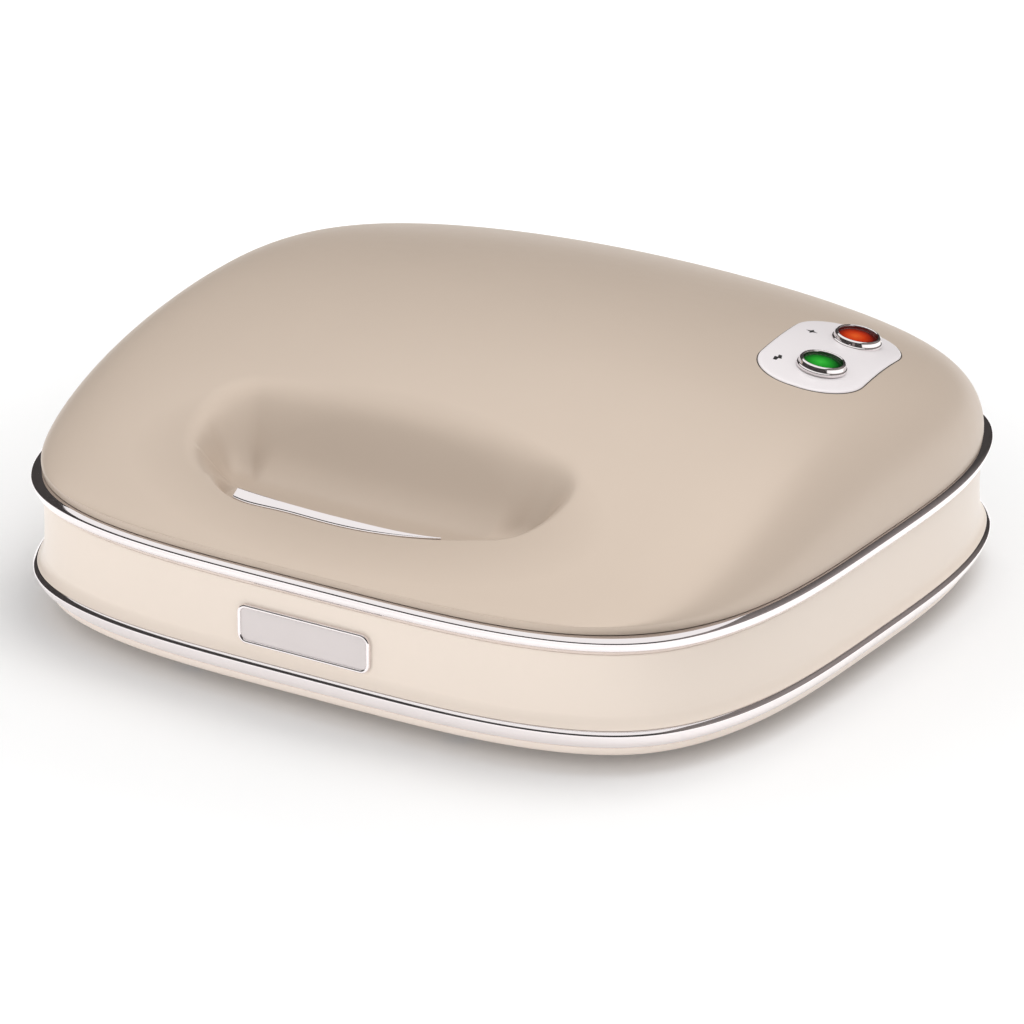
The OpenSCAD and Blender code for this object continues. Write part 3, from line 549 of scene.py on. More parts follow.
NODE_FINISH = {
    "base_deck": DECK, "lid_frame": DECK, "lower_plate": PLATE, "upper_plate": PLATE,
    "lower_heating_element": HEATER, "upper_heating_element": HEATER,
    "lower_heat_reflector": SHEET, "upper_heat_reflector": SHEET,
    "lower_plate_screws": ZINC, "upper_plate_screws": ZINC, "base_screws": ZINC,
    "lid_screws": ZINC, "arm_screws": ZINC, "bracket_screws": ZINC, "catch_screws": ZINC,
    "catch_plate": ZINC, "latch_pin": ZINC, "hinge_pin_left": ZINC, "hinge_pin_right": ZINC,
    "hinge_bracket_left": HINGE, "hinge_bracket_right": HINGE, "hinge_arm_left": HINGE,
    "hinge_arm_right": HINGE, "thermostat": THERMO, "thermal_fuse": FUSE,
    "terminal_block": BLOCK, "base_wiring": LEAD, "lid_wiring": LEAD, "cable_gland": RUBBER,
    "foot_front_left": RUBBER, "foot_front_right": RUBBER, "foot_rear_left": RUBBER,
    "foot_rear_right": RUBBER, "neon_lamps": NEON, "latch_spring": SPRING,
    "base_tray": CREAM_SHELL_PAINTED_LIGHT, "waist_band": CREAM_BAND, "lower_trim_ring": CHROME,
    "upper_trim_ring": CHROME, "front_badge": CHROME, "lid_shell": TAUPE,
    "lamp_panel": PANEL_WHITE, "red_lens": RED_LENS, "green_lens": GREEN_LENS,
    "red_bezel": CHROME, "green_bezel": CHROME, "latch_lever": CHROME,
}


def dress_nodes():
    """Gives every CAD node its material."""
    for name, material in NODE_FINISH.items():
        node = frame["nodes"][name]
        for obj in [node] + list(node.children):
            if obj.type == "MESH":
                if not obj.data.materials:
                    obj.data.materials.append(material)
                for slot in obj.material_slots:
                    slot.material = material


# ---------- lid ----------

# finger pocket: floor, its rise at the ends, width, front and back, radii of its outline
POCKET_FLOOR = 50.0
POCKET_RISE, POCKET_RISE_X = 0.25, 59
POCKET_W = 118.6
POCKET_FRONT, POCKET_BACK = -97.25, -59.0
POCKET_BOW, POCKET_FR, POCKET_BR = 133.0, 18.0, 11.0
BOW_Y = POCKET_FRONT + POCKET_BOW
# the front edge bulges forward beside the grip's cut end: how far, where, how wide
SWELL, SWELL_X, SWELL_W, SWELL_BACK = 3.0, -35, 15, -80
# half length and place of the pocket's middle line
MIDLINE_X, MIDLINE_Y = 38.0, -82.0
# direction from the middle line, roll-over outside the edge, slope inside the edge
POCKET_LIPS = [(-90, 0.5, 2.0), (-60, 0.6, 4), (-25, 1.5, 8), (15, 3, 12), (60, 7, 18),
               (90, 8.5, 21.5), (120, 9, 20.5), (160, 7, 18), (195, 5, 16), (225, 1.8, 10),
               (245, 0.8, 5), (270, 0.5, 2.0)]
LIP_BLUR = 60
# rays that carry the lid's points: along each side of the middle line, round each end
SIDE_RAYS, END_RAYS = 56, 188
RAY_MAX = 400.0
# rows of points on the shoulder, from there to the pocket's edge, and inside the pocket
SHOULDER_ROWS, DOME_ROWS, POCKET_ROWS = 20, 80, 40
SHOULDER_SHARE = 0.9
DOME_SPACING, POCKET_SPACING = 1.6, 1.5
# lid's foot as (inset, height), and the skin's underside: lowest height, inset, thickness
LID_FOOT = [(0.35, 42.1), (0.3, 42.5), (0.12, 43.2), (0.02, 44.0)]
LID_BOTTOM = 42.1
SKIN_SIDE, SKIN_TOP, SKIN_STEP = 2.4, 2.6, 6


def front_swell(x):
    """How far the pocket's front edge reaches forward beside the grip's cut end."""
    return SWELL * np.exp(-((x - SWELL_X) / SWELL_W) ** 2)


def pocket_edge():
    """Closed outline of the finger pocket."""
    fx = POCKET_W / 2 - POCKET_FR
    fy = BOW_Y - math.sqrt((POCKET_BOW - POCKET_FR) ** 2 - fx * fx)
    bend = math.degrees(math.atan2(fx, BOW_Y - fy))

    def arc(c, r, a0, a1):
        a = np.radians(np.linspace(a0, a1, 60))
        return np.column_stack([c[0] + r * np.cos(a), c[1] + r * np.sin(a)])

    half = np.concatenate([arc((0, BOW_Y), POCKET_BOW, -90, -90 + bend),
                           arc((fx, fy), POCKET_FR, -90 + bend, 0)[1:],
                           arc((POCKET_W / 2 - POCKET_BR, POCKET_BACK - POCKET_BR),
                               POCKET_BR, 0, 90)])
    loop = np.concatenate([half, (half * [-1, 1])[::-1][:-1]])
    loop[:, 1] -= np.where(loop[:, 1] < SWELL_BACK, front_swell(loop[:, 0]), 0)
    return loop


def rays():
    """Rays from the pocket's middle line: starts, directions and angles, all round."""
    run = np.linspace(-MIDLINE_X, MIDLINE_X, SIDE_RAYS)
    fan = np.linspace(-90, 90, END_RAYS + 2)[1:-1]
    angle = np.concatenate([np.full(SIDE_RAYS, -90.0), fan, np.full(SIDE_RAYS, 90.0), 180 + fan])
    start_x = np.concatenate([run, np.full(END_RAYS, MIDLINE_X), run[::-1],
                              np.full(END_RAYS, -MIDLINE_X)])
    start = np.column_stack([start_x, np.full(len(start_x), MIDLINE_Y)])
    rad = np.radians(angle)
    return start, np.column_stack([np.cos(rad), np.sin(rad)]), angle


def ray_hits(start, direction, loop):
    """Distance along each ray to a closed outline."""
    out = []
    a, b = loop, np.roll(loop, -1, axis=0)
    e = b - a
    for p, d in zip(start, direction):
        w = a - p
        den = d[0] * e[:, 1] - d[1] * e[:, 0]
        den = np.where(np.abs(den) < 1e-12, 1e-12, den)
        s = (w[:, 0] * e[:, 1] - w[:, 1] * e[:, 0]) / den
        k = (w[:, 0] * d[1] - w[:, 1] * d[0]) / den
        good = (s > 0) & (k >= -1e-9) & (k <= 1 + 1e-9)
        out.append(s[good].max())
    return np.array(out)


def lid_surface():
    """Rows of points of the lid's outside, from its foot to the middle of the pocket."""
    start, way, angle = rays()
    edge = ray_hits(start, way, pocket_edge())
    keys = np.array(POCKET_LIPS)
    roll = blurred(np.interp(angle, keys[:, 0], keys[:, 1]), LIP_BLUR)
    slope = blurred(np.interp(angle, keys[:, 0], keys[:, 2]), LIP_BLUR)

    def at(run):
        return start + way * run[:, None]

    def reach(level):
        """Distance along each ray to a level of the gauge."""
        return bisect(lambda run: gauge(*at(run).T) < level, len(edge), RAY_MAX)

    runs = [reach(1.0)]
    rows = []
    for inset, z in LID_FOOT:
        p = at(runs[0] - inset)
        rows.append(np.column_stack([p, np.full(len(p), z)]))
    for k in range(1, SHOULDER_ROWS + 1):
        share = k / SHOULDER_ROWS * SHOULDER_SHARE
        runs.append(reach((1 - share ** SHOULDER_ROOT) ** (1 / SHOULDER)))
    last = runs[-1]
    for k in range(1, DOME_ROWS + 1):
        runs.append(last + (edge - last) * (1 - (1 - k / DOME_ROWS) ** DOME_SPACING))
    for k in range(1, POCKET_ROWS + 1):
        runs.append(edge * (1 - (k / POCKET_ROWS) ** POCKET_SPACING))
    for run in runs:
        p = at(run)
        top = crown(p[:, 0], p[:, 1])
        low = POCKET_FLOOR + POCKET_RISE * ((p[:, 0] / POCKET_RISE_X) ** 2)
        fall = smooth((edge - run + roll) / (roll + slope))
        rows.append(np.column_stack([p, top - (top - low) * fall]))
    return rows


def lid_shell():
    """Lid skin: underside of the dome, foot, then the outside down into the pocket."""
    rows = lid_surface()
    inside = []
    for row in rows[len(LID_FOOT):-POCKET_ROWS - 1:SKIN_STEP]:
        away = row[:, :2]
        length = np.linalg.norm(away, axis=1, keepdims=True)
        inside.append(np.column_stack([away - away / length * SKIN_SIDE,
                                       np.maximum(row[:, 2] - SKIN_TOP, LID_BOTTOM)]))
    foot = inside[0].copy()
    foot[:, 2] = LID_BOTTOM
    loops = inside[::-1] + [foot] + rows
    piece("lid_skin", np.concatenate(loops), band_faces(len(loops), len(rows[0])), TAUPE, "lid",
          angle=50, replaced=["lid_shell"], slot="taupe_lid")


# ---------- lamp panel ----------

# panel: place and turn on the lid, height over it, size and corner radius of its plate
PANEL_X, PANEL_Y, PANEL_TURN = 83.6, 37.3, math.radians(8.5)
PANEL_UP = 0.5
PANEL_W, PANEL_D, PANEL_R = 31.4, 56.2, 14.6
PLATE_SHIFT = -1.1
PLATE_POINTS, PLATE_LANES = 200, 22
# (inset, height over the lid) of the plate's rim, and of the dark strip round it: a painted shadow
# in the gap
PLATE_RIM = [(0, -1.2), (0, 0.05), (0.06, 0.25), (0.2, 0.4), (0.45, 0.48), (0.9, 0.52)]
PLATE_PAINTED_SHADOW = [(-0.28, 0.03), (-0.1, 0.06), (0.05, 0.06)]
# lamps: place in the panel's plan, tip, and radius and height of a bezel
LAMP_U, LAMP_V = 2.5, 13.7
LAMP_TIP_X, LAMP_TIP_Y = math.radians(9.6), math.radians(3.4)
BEZEL_R, BEZEL_H = 7.3, 2.6
BEZEL_POINTS, CAP_POINTS, CAP_ROWS = 96, 72, 14
# signs: place across the panel, places along it, heights over the lid
MARK_U, HEAT_V, MAINS_V = -9.8, 9.6, -16.4
MARK_UP = (0.45, 0.56)
STAR_R = (1.75, 0.7)
BOLT = [(-0.85, -1.9), (0.2, -1.9), (0.2, -0.3), (1.15, -0.3), (0.5, 1.9), (-0.5, 1.9),
        (-0.2, 0.3), (-1.15, 0.3)]


def panel_point(u, v):
    """Place on the plan of a point in the panel's own plan."""
    c, s = math.cos(PANEL_TURN), math.sin(PANEL_TURN)
    return PANEL_X + u * c - v * s, PANEL_Y + u * s + v * c


def lamp_panel():
    """White plate that follows the lid, with a rounded rim and a thin dark strip round it, a
    painted shadow gap.
    """
    rim = evenly(rounded_rect(PANEL_W, PANEL_D, PANEL_R, 24), PLATE_POINTS)

    def loop(inset):
        size = [(PANEL_W - 2 * inset) / PANEL_W, (PANEL_D - 2 * inset) / PANEL_D]
        return rim * size + [0, PLATE_SHIFT]

    def laid(points, up):
        x, y = panel_point(points[:, 0], points[:, 1])
        return np.column_stack([x, y, crown(x, y) + up])

    rows = [laid(loop(inset), up) for inset, up in PLATE_RIM]
    inset, up = PLATE_RIM[-1]
    rows += [laid(loop(inset) * (1 - k / PLATE_LANES), up) for k in range(1, PLATE_LANES)]
    piece("lamp_plate", np.concatenate(rows), capped_faces(len(rows), len(rim)), PANEL_WHITE,
          "lid", replaced=["lamp_panel"], slot="panel_white")
    # thin dark strip round the plate: painted shadow where it meets the lid
    painted_shadow = [laid(loop(inset), up) for inset, up in PLATE_PAINTED_SHADOW]
    piece("lamp_plate_seam", np.concatenate(painted_shadow), band_faces(len(painted_shadow), len(rim)), GAP_PAINTED_SHADOW,
          "lid")


def lamp_matrix(v):
    """Place and tip of a lamp, in mm."""
    x, y = panel_point(LAMP_U, v)
    return (Matrix.Translation((x, y, crown_at(x, y) + PANEL_UP))
            @ Matrix.Rotation(PANEL_TURN, 4, "Z")
            @ Matrix.Rotation(LAMP_TIP_X, 4, "Y") @ Matrix.Rotation(-LAMP_TIP_Y, 4, "X"))


def lamp(name, v, glass):
    """Bright bezel with a coloured cap."""
    place = lamp_matrix(v)
    bezel = fillet([(LENS_R - 0.1, 0.0, 0), (BEZEL_R + 0.05, 0.0, 0), (BEZEL_R + 0.05, 0.75, 0.3),
                    (BEZEL_R - 0.35, 1.0, 0.3), (BEZEL_R - 0.55, BEZEL_H - 0.45, 0.4),
                    (LENS_R + 0.45, BEZEL_H, 0.35), (LENS_R + 0.05, BEZEL_H - 0.2, 0.15),
                    (LENS_R - 0.1, BEZEL_H - 1.0, 0)])
    piece(name + "_ring", placed(turned(bezel, BEZEL_POINTS), place),
          band_faces(len(bezel), BEZEL_POINTS, True), CHROME, "lid", angle=40,
          replaced=[name + "_bezel"], slot="bright_chrome")
    edge_r, edge_z, rise = LENS_R - 0.05, BEZEL_H - 1.1, 0.9
    cap = [(LENS_R - 0.3, -1.5), (edge_r, edge_z)]
    for k in range(1, CAP_ROWS):
        a = k / CAP_ROWS * math.pi / 2
        cap.append((edge_r * math.cos(a), edge_z + rise * math.sin(a)))
    cap.append((0.01, edge_z + rise))
    obj = mesh_object(name + "_cap", turned(cap, CAP_POINTS), capped_faces(len(cap), CAP_POINTS))
    obj.matrix_world = Matrix.Translation(Vector(place.translation) * MM) @ place.to_3x3().to_4x4()
    finish_piece(obj, glass, "lid", 60, [name + "_lens"], name + "_clear")


def marks():
    """Two tiny generic signs beside the lamps: heat and mains."""
    star = [(STAR_R[k % 2] * math.cos(k * math.pi / 4), STAR_R[k % 2] * math.sin(k * math.pi / 4))
            for k in range(8)]
    for name, shape, v in [("mark_heat", star, HEAT_V), ("mark_mains", BOLT, MAINS_V)]:
        verts = []
        for up in MARK_UP:
            for a, b in shape:
                x, y = panel_point(MARK_U + a, v + b)
                verts.append((x, y, crown_at(x, y) + up))
        n = len(shape)
        piece(name, verts, [tuple(range(n, 2 * n))] + band_faces(2, n), MARK_INK, "lid")


# ---------- trim rings and shells ----------

# waist: inset and hollow of its wall, heights where the wall starts and ends, its steps
WALL_IN, WALL_HOLLOW = 3.0, 0.2
WALL_TOP, WALL_LOW, WALL_STEPS = 35.0, 18.0, 12
# notches for the hinges and hole for the gland
HINGE_X, NOTCH_HALF, NOTCH_Z = 60.0, 13.5, 22.6
GLAND_R, GLAND_Z = 4.7, 24.4
REAR_Y, REAR_END = 90, 130
# tray: cooling slots, screw seats and foot sockets
SLOT_PITCH, SLOT_HALF_W, SLOT_HALF_L, SLOT_Y = 9, 1.5, 14, 40
SEAT_X, SEAT_Y, SEAT_R, SEAT_Z = 45, 100.9, 3.6, 5.9
SOCKET_X, SOCKET_Y, SOCKET_R, SOCKET_Z = 82, 74, 9.3, 4.3
# badge: size, corner radius, height of its middle, inset of the face it stands on
BADGE_W, BADGE_H, BADGE_R, BADGE_Z = 44.2, 12.0, 3, 23.7
BADGE_IN = 3.1


def upper_ring():
    """Trim under the lid: sloping ledge, crisp rolled edge, face that falls inward."""
    ledge = [(6.0, 42.0), (3.0, 41.95), (1.75, 41.9), (1.2, 41.62), (0.7, 41.3), (0.36, 41.05)]
    edge = [(0.16, 40.86), (0.06, 40.66), (0.05, 40.42), (0.14, 40.15)]
    face = spline([(0.34, 39.8), (0.6, 38.9), (1.05, 37.9), (1.75, 37.0), (2.7, 36.25)])
    foot = [(2.95, 36.1), (3.2, 36.05), (6.0, 36.05)]
    loft("upper_ring", ledge + edge + face + foot, CHROME, "lid", angle=42,
         replaced=["upper_trim_ring"], slot="bright_chrome")


def lower_ring():
    """Trim at the foot of the band: narrow bright chamfer, rolled edge, belly below."""
    top = [(3.0, 13.8), (1.2, 13.8), (1.05, 13.74), (0.7, 13.45), (0.4, 13.12)]
    edge = [(0.2, 12.9), (0.1, 12.66), (0.1, 12.42)]
    belly = spline([(0.22, 12.1), (0.75, 10.9), (1.55, 9.5), (2.6, 8.2), (3.4, 7.45)])
    foot = [(3.6, 7.35), (5.6, 7.35), (5.6, 13.8)]
    loft("lower_ring", top + edge + belly + foot, CHROME, "base", angle=42,
         replaced=["lower_trim_ring"], slot="bright_chrome")


def waist():
    """Cream band: nearly upright wall that flares out above the lower trim."""
    head = [(5.1, 35.95), (3.3, 35.95), (3.08, 35.9), (3.0, 35.7)]
    wall = [(WALL_IN + WALL_HOLLOW * math.sin(math.pi * k / WALL_STEPS),
             WALL_TOP - (WALL_TOP - WALL_LOW) * k / WALL_STEPS) for k in range(WALL_STEPS + 1)]
    flare = spline([(3.0, 18.0), (2.9, 17.0), (2.5, 15.8), (1.9, 14.75), (1.2, 14.0)], 3)
    foot = [(1.18, 13.9), (1.4, 13.82), (5.1, 13.82), (5.1, 15.9), (5.1, 35.0)]
    band = loft("waist_wall", head + wall + flare[1:] + foot, CREAM_BAND, "base", angle=40)
    cutters = [box_cutter(s * HINGE_X - NOTCH_HALF, s * HINGE_X + NOTCH_HALF,
                          REAR_Y, REAR_END, NOTCH_Z, 40) for s in (-1, 1)]
    hole = cutter(*prism(disc_points(0, 0, GLAND_R), 0, REAR_END - REAR_Y))
    hole.data.transform(Matrix.Translation((0, REAR_Y * MM, GLAND_Z * MM))
                        @ Matrix.Rotation(-math.pi / 2, 4, "X"))
    cut(band, cutters + [hole])
    finish_piece(band, CREAM_BAND, "base", 40, ["waist_band"], "cream_band")


def tray():
    """Bottom shell with its screw seats, foot sockets and cooling slots."""
    inner = [(7.9, 6.0), (7.9, 13.6), (5.7, 13.6), (5.7, 7.3)]
    side = spline([(3.65, 7.3), (3.85, 6.5), (4.6, 5.1), (6.2, 4.0), (9.0, 3.53)])
    section = inner + side + [(9.6, 3.5)]
    t = even_stations(240)
    inside_floor = tuple(range(len(t)))[::-1]
    # the shell's cream is painted lighter to make up for the shade at the foot
    shell = piece("bottom_shell", carried(section, t),
                  capped_faces(len(section), len(t)) + [inside_floor], CREAM_SHELL_PAINTED_LIGHT, "base",
                  angle=40)
    cutters = [box_cutter(x * SLOT_PITCH - SLOT_HALF_W, x * SLOT_PITCH + SLOT_HALF_W,
                          y * SLOT_Y - SLOT_HALF_L, y * SLOT_Y + SLOT_HALF_L, 0, 20)
               for x in range(-5, 6) for y in (-1, 1)]
    for sx in (-1, 1):
        for sy in (-1, 1):
            cutters.append(cutter(*prism(disc_points(sx * SEAT_X, sy * SEAT_Y, SEAT_R),
                                         0, SEAT_Z)))
            cutters.append(cutter(*prism(disc_points(sx * SOCKET_X, sy * SOCKET_Y, SOCKET_R, 48),
                                         0, SOCKET_Z)))
    cut(shell, cutters)
    finish_piece(shell, CREAM_SHELL_PAINTED_LIGHT, "base", 40, ["base_tray"], "cream_shell")


def badge():
    """Bright raised rim round a bare satin field."""

    def stacked(levels):
        """Points of (inset, height over the wall) loops, and their number in a loop."""
        loops = []
        for inset, out in levels:
            p = rounded_rect(BADGE_W - 2 * inset, BADGE_H - 2 * inset,
                             max(0.4, BADGE_R - inset), 10)
            y = np.full(len(p), -(TRIM_D - BADGE_IN) - out)
            loops.append(np.column_stack([p[:, 0], y, p[:, 1] + BADGE_Z]))
        return np.concatenate(loops), len(p)

    rim = [(0, -0.6), (0, 0.75), (0.12, 1.0), (0.38, 1.15), (0.7, 1.15), (0.98, 1.0),
           (1.1, 0.72)]
    verts, n = stacked(rim)
    piece("badge_rim", verts, band_faces(len(rim), n), CHROME, "base", angle=50,
          replaced=["front_badge"], slot="bright_chrome")
    field = [(1.05, 0.70), (1.3, 0.72), (1.6, 0.75), (3.0, 0.76)]
    verts, n = stacked(field)
    piece("badge_field", verts, capped_faces(len(field), n), BADGE_SATIN, "base",
          slot="badge_satin")


# ---------- latch ----------

# grip: ends, underside, back edge, and its gap and set to the pocket's edge
GRIP_X0, GRIP_X1 = -34.0, 33.7
GRIP_BOTTOM = 50.9
GRIP_BACK = -94.5
GRIP_GAP, GRIP_SET = 0.3, 0.1
# the grip's back edge bends forward: how far and how sharply at its left and right end
BEND_LEFT, BEND_RIGHT, BEND_POW = 2.0, 2.1, 3.2
# section across the grip: share of its depth, height over the lid's dome
GRIP_ACROSS = [(0.0, -1.2), (0.0, -0.1), (0.03, 0.05), (0.08, 0.1), (0.3, 0.14), (0.6, 0.18),
               (0.84, 0.17), (0.92, 0.02), (0.97, -0.25), (0.99, -0.5), (1.0, -0.9)]
# pivot, hubs on the pin, arms and their teeth
PIVOT_Y, PIVOT_Z = -93.3, 44.6
HUB_R, HUB_L, PIN_BORE = 2.6, 3, 1.56
ARM_X, ARM_HALF_T, ARM_HALF_W = 22, 2.5, 1.1
TOOTH_LOW, TOOTH_TOP, TOOTH_REACH = 23.4, 25.7, 3.5
# the arm's bent top, as (distance behind the pivot, height)
ARM_HEAD = [(ARM_HALF_W, 47.9), (-0.3, 49.3), (-0.3, GRIP_BOTTOM), (-1.6, GRIP_BOTTOM),
            (-1.6, 49.0), (-ARM_HALF_W, 48.4)]


def latch_grip():
    """Bright grip along the bowed front of the pocket, pointed at its right end."""
    xs = np.linspace(GRIP_X0, GRIP_X1, 90)
    front = (BOW_Y - np.sqrt((POCKET_BOW - GRIP_GAP) ** 2 - xs * xs) - front_swell(xs)
             + GRIP_SET)
    back = np.where(xs < 0, GRIP_BACK + BEND_LEFT * (xs / GRIP_X0) ** 2,
                    GRIP_BACK + BEND_RIGHT * (np.abs(xs) / GRIP_X1) ** BEND_POW)
    back = np.maximum(back, front + 0.12)
    thin = np.minimum(1, (back - front) / 2)
    low = np.full_like(xs, GRIP_BOTTOM)
    rows = [np.column_stack([xs, front, low])]
    for part, up in GRIP_ACROSS:
        y = front + (back - front) * part
        rows.append(np.column_stack([xs, y, crown(xs, y) + up * thin]))
    rows.append(np.column_stack([xs, back, low]))
    n, m = len(xs), len(rows)
    faces = []
    for r in range(m):
        for c in range(n - 1):
            a, b = r * n, ((r + 1) % m) * n
            faces.append((a + c, a + c + 1, b + c + 1, b + c))
    faces.append(tuple(r * n for r in range(m)))
    faces.append(tuple(r * n + n - 1 for r in range(m))[::-1])
    piece("latch_grip", np.concatenate(rows), faces, CHROME, "latch", angle=38,
          replaced=["latch_lever"], slot="bright_chrome")


def latch_arms():
    """Two steel arms with teeth under the grip, and their hubs on the pin."""
    # a prism's plan and height become the part's (y, z) and x
    turn = Matrix(((0, 0, 1, 0), (1, 0, 0, 0), (0, 1, 0, 0), (0, 0, 0, 1)))
    y0, z0 = PIVOT_Y, PIVOT_Z
    round_hub = [math.radians(a) for a in np.linspace(-65, 65, 12)]
    side = [(y0 - ARM_HALF_W, TOOTH_LOW), (y0 + TOOTH_REACH, TOOTH_LOW),
            (y0 + TOOTH_REACH, TOOTH_TOP), (y0 + ARM_HALF_W, TOOTH_TOP)]
    side += [(y0 + HUB_R * math.cos(a), z0 + HUB_R * math.sin(a)) for a in round_hub]
    side += [(y0 + y, z) for y, z in ARM_HEAD]
    side += [(y0 - HUB_R * math.cos(a), z0 - HUB_R * math.sin(a)) for a in round_hub]
    hub = [(PIN_BORE, 0), (HUB_R, 0), (HUB_R, HUB_L), (PIN_BORE, HUB_L)]
    for name, x in [("left", -ARM_X), ("right", ARM_X)]:
        verts, faces = prism(side, x - ARM_HALF_T, x + ARM_HALF_T)
        arm = piece("latch_arm_" + name, placed(verts, turn), faces, ZINC, "latch")
        verts, faces = prism(disc_points(y0, z0, PIN_BORE), x - 9, x + 9)
        cut(arm, [cutter(placed(verts, turn), faces)])
        finish_piece(arm, ZINC, "latch", 35, ["latch_lever"], "zinc_steel")
        for k, end in enumerate([x - ARM_HALF_T - HUB_L, x + ARM_HALF_T]):
            move = Matrix.Translation((end, y0, z0)) @ Matrix.Rotation(math.pi / 2, 4, "Y")
            piece("latch_hub_%s_%d" % (name, k), placed(turned(hub, 40), move),
                  band_faces(len(hub), 40), ZINC, "latch", replaced=["latch_lever"],
                  slot="zinc_steel")


# ---------- camera, light and floor ----------

# camera: lens, direction, distance in metres, point it looks at
FOCAL, SENSOR = 302.8, 36
AZIMUTH, ELEVATION = math.radians(32.05), math.radians(23.4)
DISTANCE = 2.5
TARGET = (-0.62, -0.39, 21.5)
# area lights: name, place and size in metres, power in watts
LIGHTS = [("top", (0.35, 0.35, 1.6), (1.4, 1.2), 15),
          ("side", (1.2, -0.9, 0.6), (0.9, 0.9), 1.2),
          ("front", (-0.5, -1.6, 0.3), (1.3, 0.5), 7.2)]
LIGHT_TARGET = (0, 0, 0.04)
# background: strength as a light and where it is seen
SOFT, WHITE = 0.62, 1.0
# floor: half size, grey, and its own glow as seen and in reflections
FLOOR_HALF = 4000
FLOOR_GREY = (0.86, 0.86, 0.86, 1)
GLOW_NEAR, GLOW_FAR, GLOW_MIRRORED = 0.05, 0.38, 0.34
# distances from the middle in metres between which the glow as seen grows
GLOW_START, GLOW_END = 0.13, 0.36
# studio wall: radius, foot, mean height, tilt of its top, the tilt's direction in radians
STUDIO_R, STUDIO_FOOT, STUDIO_H, STUDIO_TILT, STUDIO_TURN = 1600, 4, 2100, 800, 0.35
STUDIO_COLUMNS = 72
# direction of its greyer part over its radius in metres, and (nearness to it, colour)
STUDIO_GREY_WAY = (0.541, 0.3125, 0)
STUDIO_TONES = [(0.55, (0.055, 0.05, 0.049, 1)), (0.9, (0.3, 0.27, 0.26, 1))]


def camera():
    data = bpy.data.cameras.new("camera")
    data.lens = FOCAL
    data.sensor_width = SENSOR
    data.clip_end = 50
    cam = bpy.data.objects.new("camera", data)
    bpy.context.scene.collection.objects.link(cam)
    back = Vector((math.sin(AZIMUTH) * math.cos(ELEVATION),
                   -math.cos(AZIMUTH) * math.cos(ELEVATION), math.sin(ELEVATION)))
    cam.location = Vector(TARGET) * MM + back * DISTANCE
    cam.rotation_euler = (-back).to_track_quat("-Z", "Y").to_euler()
    bpy.context.scene.camera = cam


def lights():
    """Soft area lights that polished metal doesn't mirror."""
    for name, place, size, power in LIGHTS:
        data = bpy.data.lights.new(name, "AREA")
        data.shape = "RECTANGLE"
        data.size, data.size_y = size
        data.energy = power
        obj = bpy.data.objects.new(name, data)
        bpy.context.scene.collection.objects.link(obj)
        obj.location = place
        way = Vector(LIGHT_TARGET) - Vector(place)
        obj.rotation_euler = way.to_track_quat("-Z", "Y").to_euler()
        obj.visible_glossy = False


def world():
    """White wherever the background is seen, softer as a light."""
    scene_world = bpy.data.worlds.new("world")
    bpy.context.scene.world = scene_world
    scene_world.use_nodes = True
    tree = scene_world.node_tree
    tree.nodes.clear()
    path = tree.nodes.new("ShaderNodeLightPath").outputs
    seen = combine(tree, "MAXIMUM", path["Is Camera Ray"], path["Is Glossy Ray"])
    seen = combine(tree, "MAXIMUM", seen, path["Is Transmission Ray"])
    mix = tree.nodes.new("ShaderNodeMixShader")
    tree.links.new(seen, mix.inputs["Fac"])
    for socket, strength in zip(mix.inputs[1:], (SOFT, WHITE)):
        background = tree.nodes.new("ShaderNodeBackground")
        background.inputs["Color"].default_value = (1, 1, 1, 1)
        background.inputs["Strength"].default_value = strength
        tree.links.new(background.outputs[0], socket)
    out = tree.nodes.new("ShaderNodeOutputWorld")
    tree.links.new(mix.outputs[0], out.inputs["Surface"])


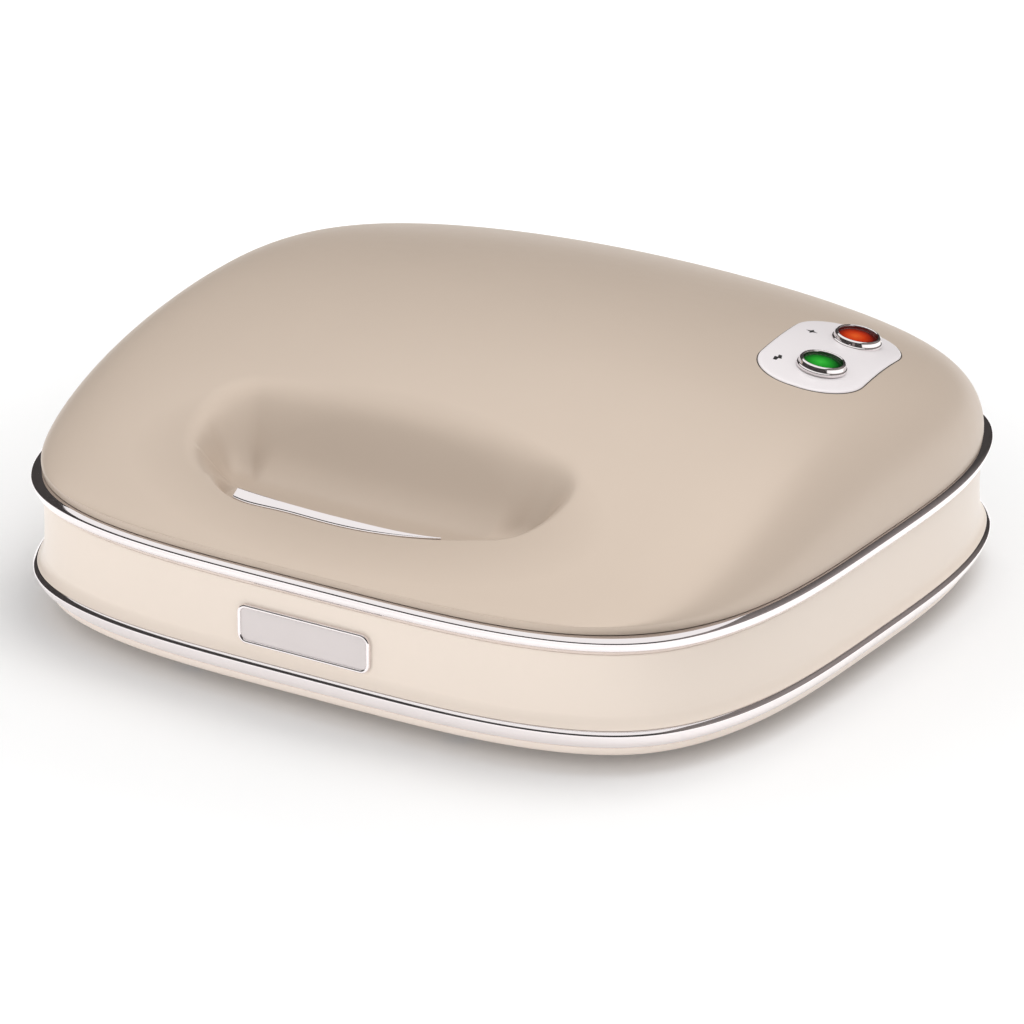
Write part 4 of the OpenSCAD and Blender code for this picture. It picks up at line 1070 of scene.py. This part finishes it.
def floor():
    """Pale floor: keeps the shadow near the part and fades to white further out."""
    s = FLOOR_HALF
    obj = mesh_object("floor", [(-s, -s, 0), (s, -s, 0), (s, s, 0), (-s, s, 0)], [(0, 1, 2, 3)])
    n = Nodes("floor")
    n.set(Roughness=0.6, Emission_Strength=0.0)
    n.tone(n.noise(3, 2), FLOOR_GREY, 0.004)
    away = n.add("ShaderNodeVectorMath", operation="LENGTH")
    n.link(n.object, away.inputs[0])
    spread = n.add("ShaderNodeMapRange", interpolation_type="SMOOTHSTEP", From_Min=GLOW_START,
                   From_Max=GLOW_END, To_Min=GLOW_NEAR, To_Max=GLOW_FAR)
    n.link(away.outputs["Value"], spread.inputs["Value"])
    path = n.add("ShaderNodeLightPath").outputs
    seen = combine(n.tree, "MULTIPLY", path["Is Camera Ray"], spread.outputs["Result"])
    mirrored = combine(n.tree, "MAXIMUM", path["Is Glossy Ray"], path["Is Transmission Ray"])
    lift = n.add("ShaderNodeEmission", Color=(1, 1, 1, 1))
    n.link(combine(n.tree, "MULTIPLY_ADD", mirrored, GLOW_MIRRORED, seen),
           lift.inputs["Strength"])
    both = n.add("ShaderNodeAddShader")
    n.link(n.shader.outputs[0], both.inputs[0])
    n.link(lift.outputs[0], both.inputs[1])
    n.link(both.outputs[0], n.tree.nodes["Material Output"].inputs["Surface"])
    obj.data.materials.append(n.material)


def dark_surround():
    """Dark studio wall that only shows in polished metal and gloss, greyer at the right."""
    angles = np.linspace(0, 2 * math.pi, STUDIO_COLUMNS, endpoint=False)
    x, y = STUDIO_R * np.cos(angles), STUDIO_R * np.sin(angles)
    top = STUDIO_H + STUDIO_TILT * np.cos(angles + STUDIO_TURN)
    verts = np.concatenate([np.column_stack([x, y, np.full(STUDIO_COLUMNS, STUDIO_FOOT)]),
                            np.column_stack([x, y, top])])
    obj = mesh_object("dark_surround", verts, band_faces(2, STUDIO_COLUMNS))
    n = Nodes("dark_surround")
    n.set(Roughness=1.0)
    facing = n.add("ShaderNodeVectorMath", operation="DOT_PRODUCT")
    facing.inputs[1].default_value = STUDIO_GREY_WAY
    n.link(n.object, facing.inputs[0])
    n.link(n.ramp(facing.outputs["Value"], STUDIO_TONES), n.shader.inputs["Base Color"])
    obj.data.materials.append(n.material)
    obj.visible_camera = obj.visible_diffuse = obj.visible_shadow = False
    obj.visible_transmission = obj.visible_volume_scatter = False


def build():
    bpy.context.scene.view_settings.view_transform = "Standard"
    camera()
    world()
    lights()
    dark_surround()
    floor()
    dress_nodes()
    lid_shell()
    lamp_panel()
    lamp("red", LAMP_V, RED_LENS)
    lamp("green", -LAMP_V, GREEN_LENS)
    marks()
    upper_ring()
    lower_ring()
    waist()
    tray()
    badge()
    latch_grip()
    latch_arms()


build()
bpy.context.view_layer.update()
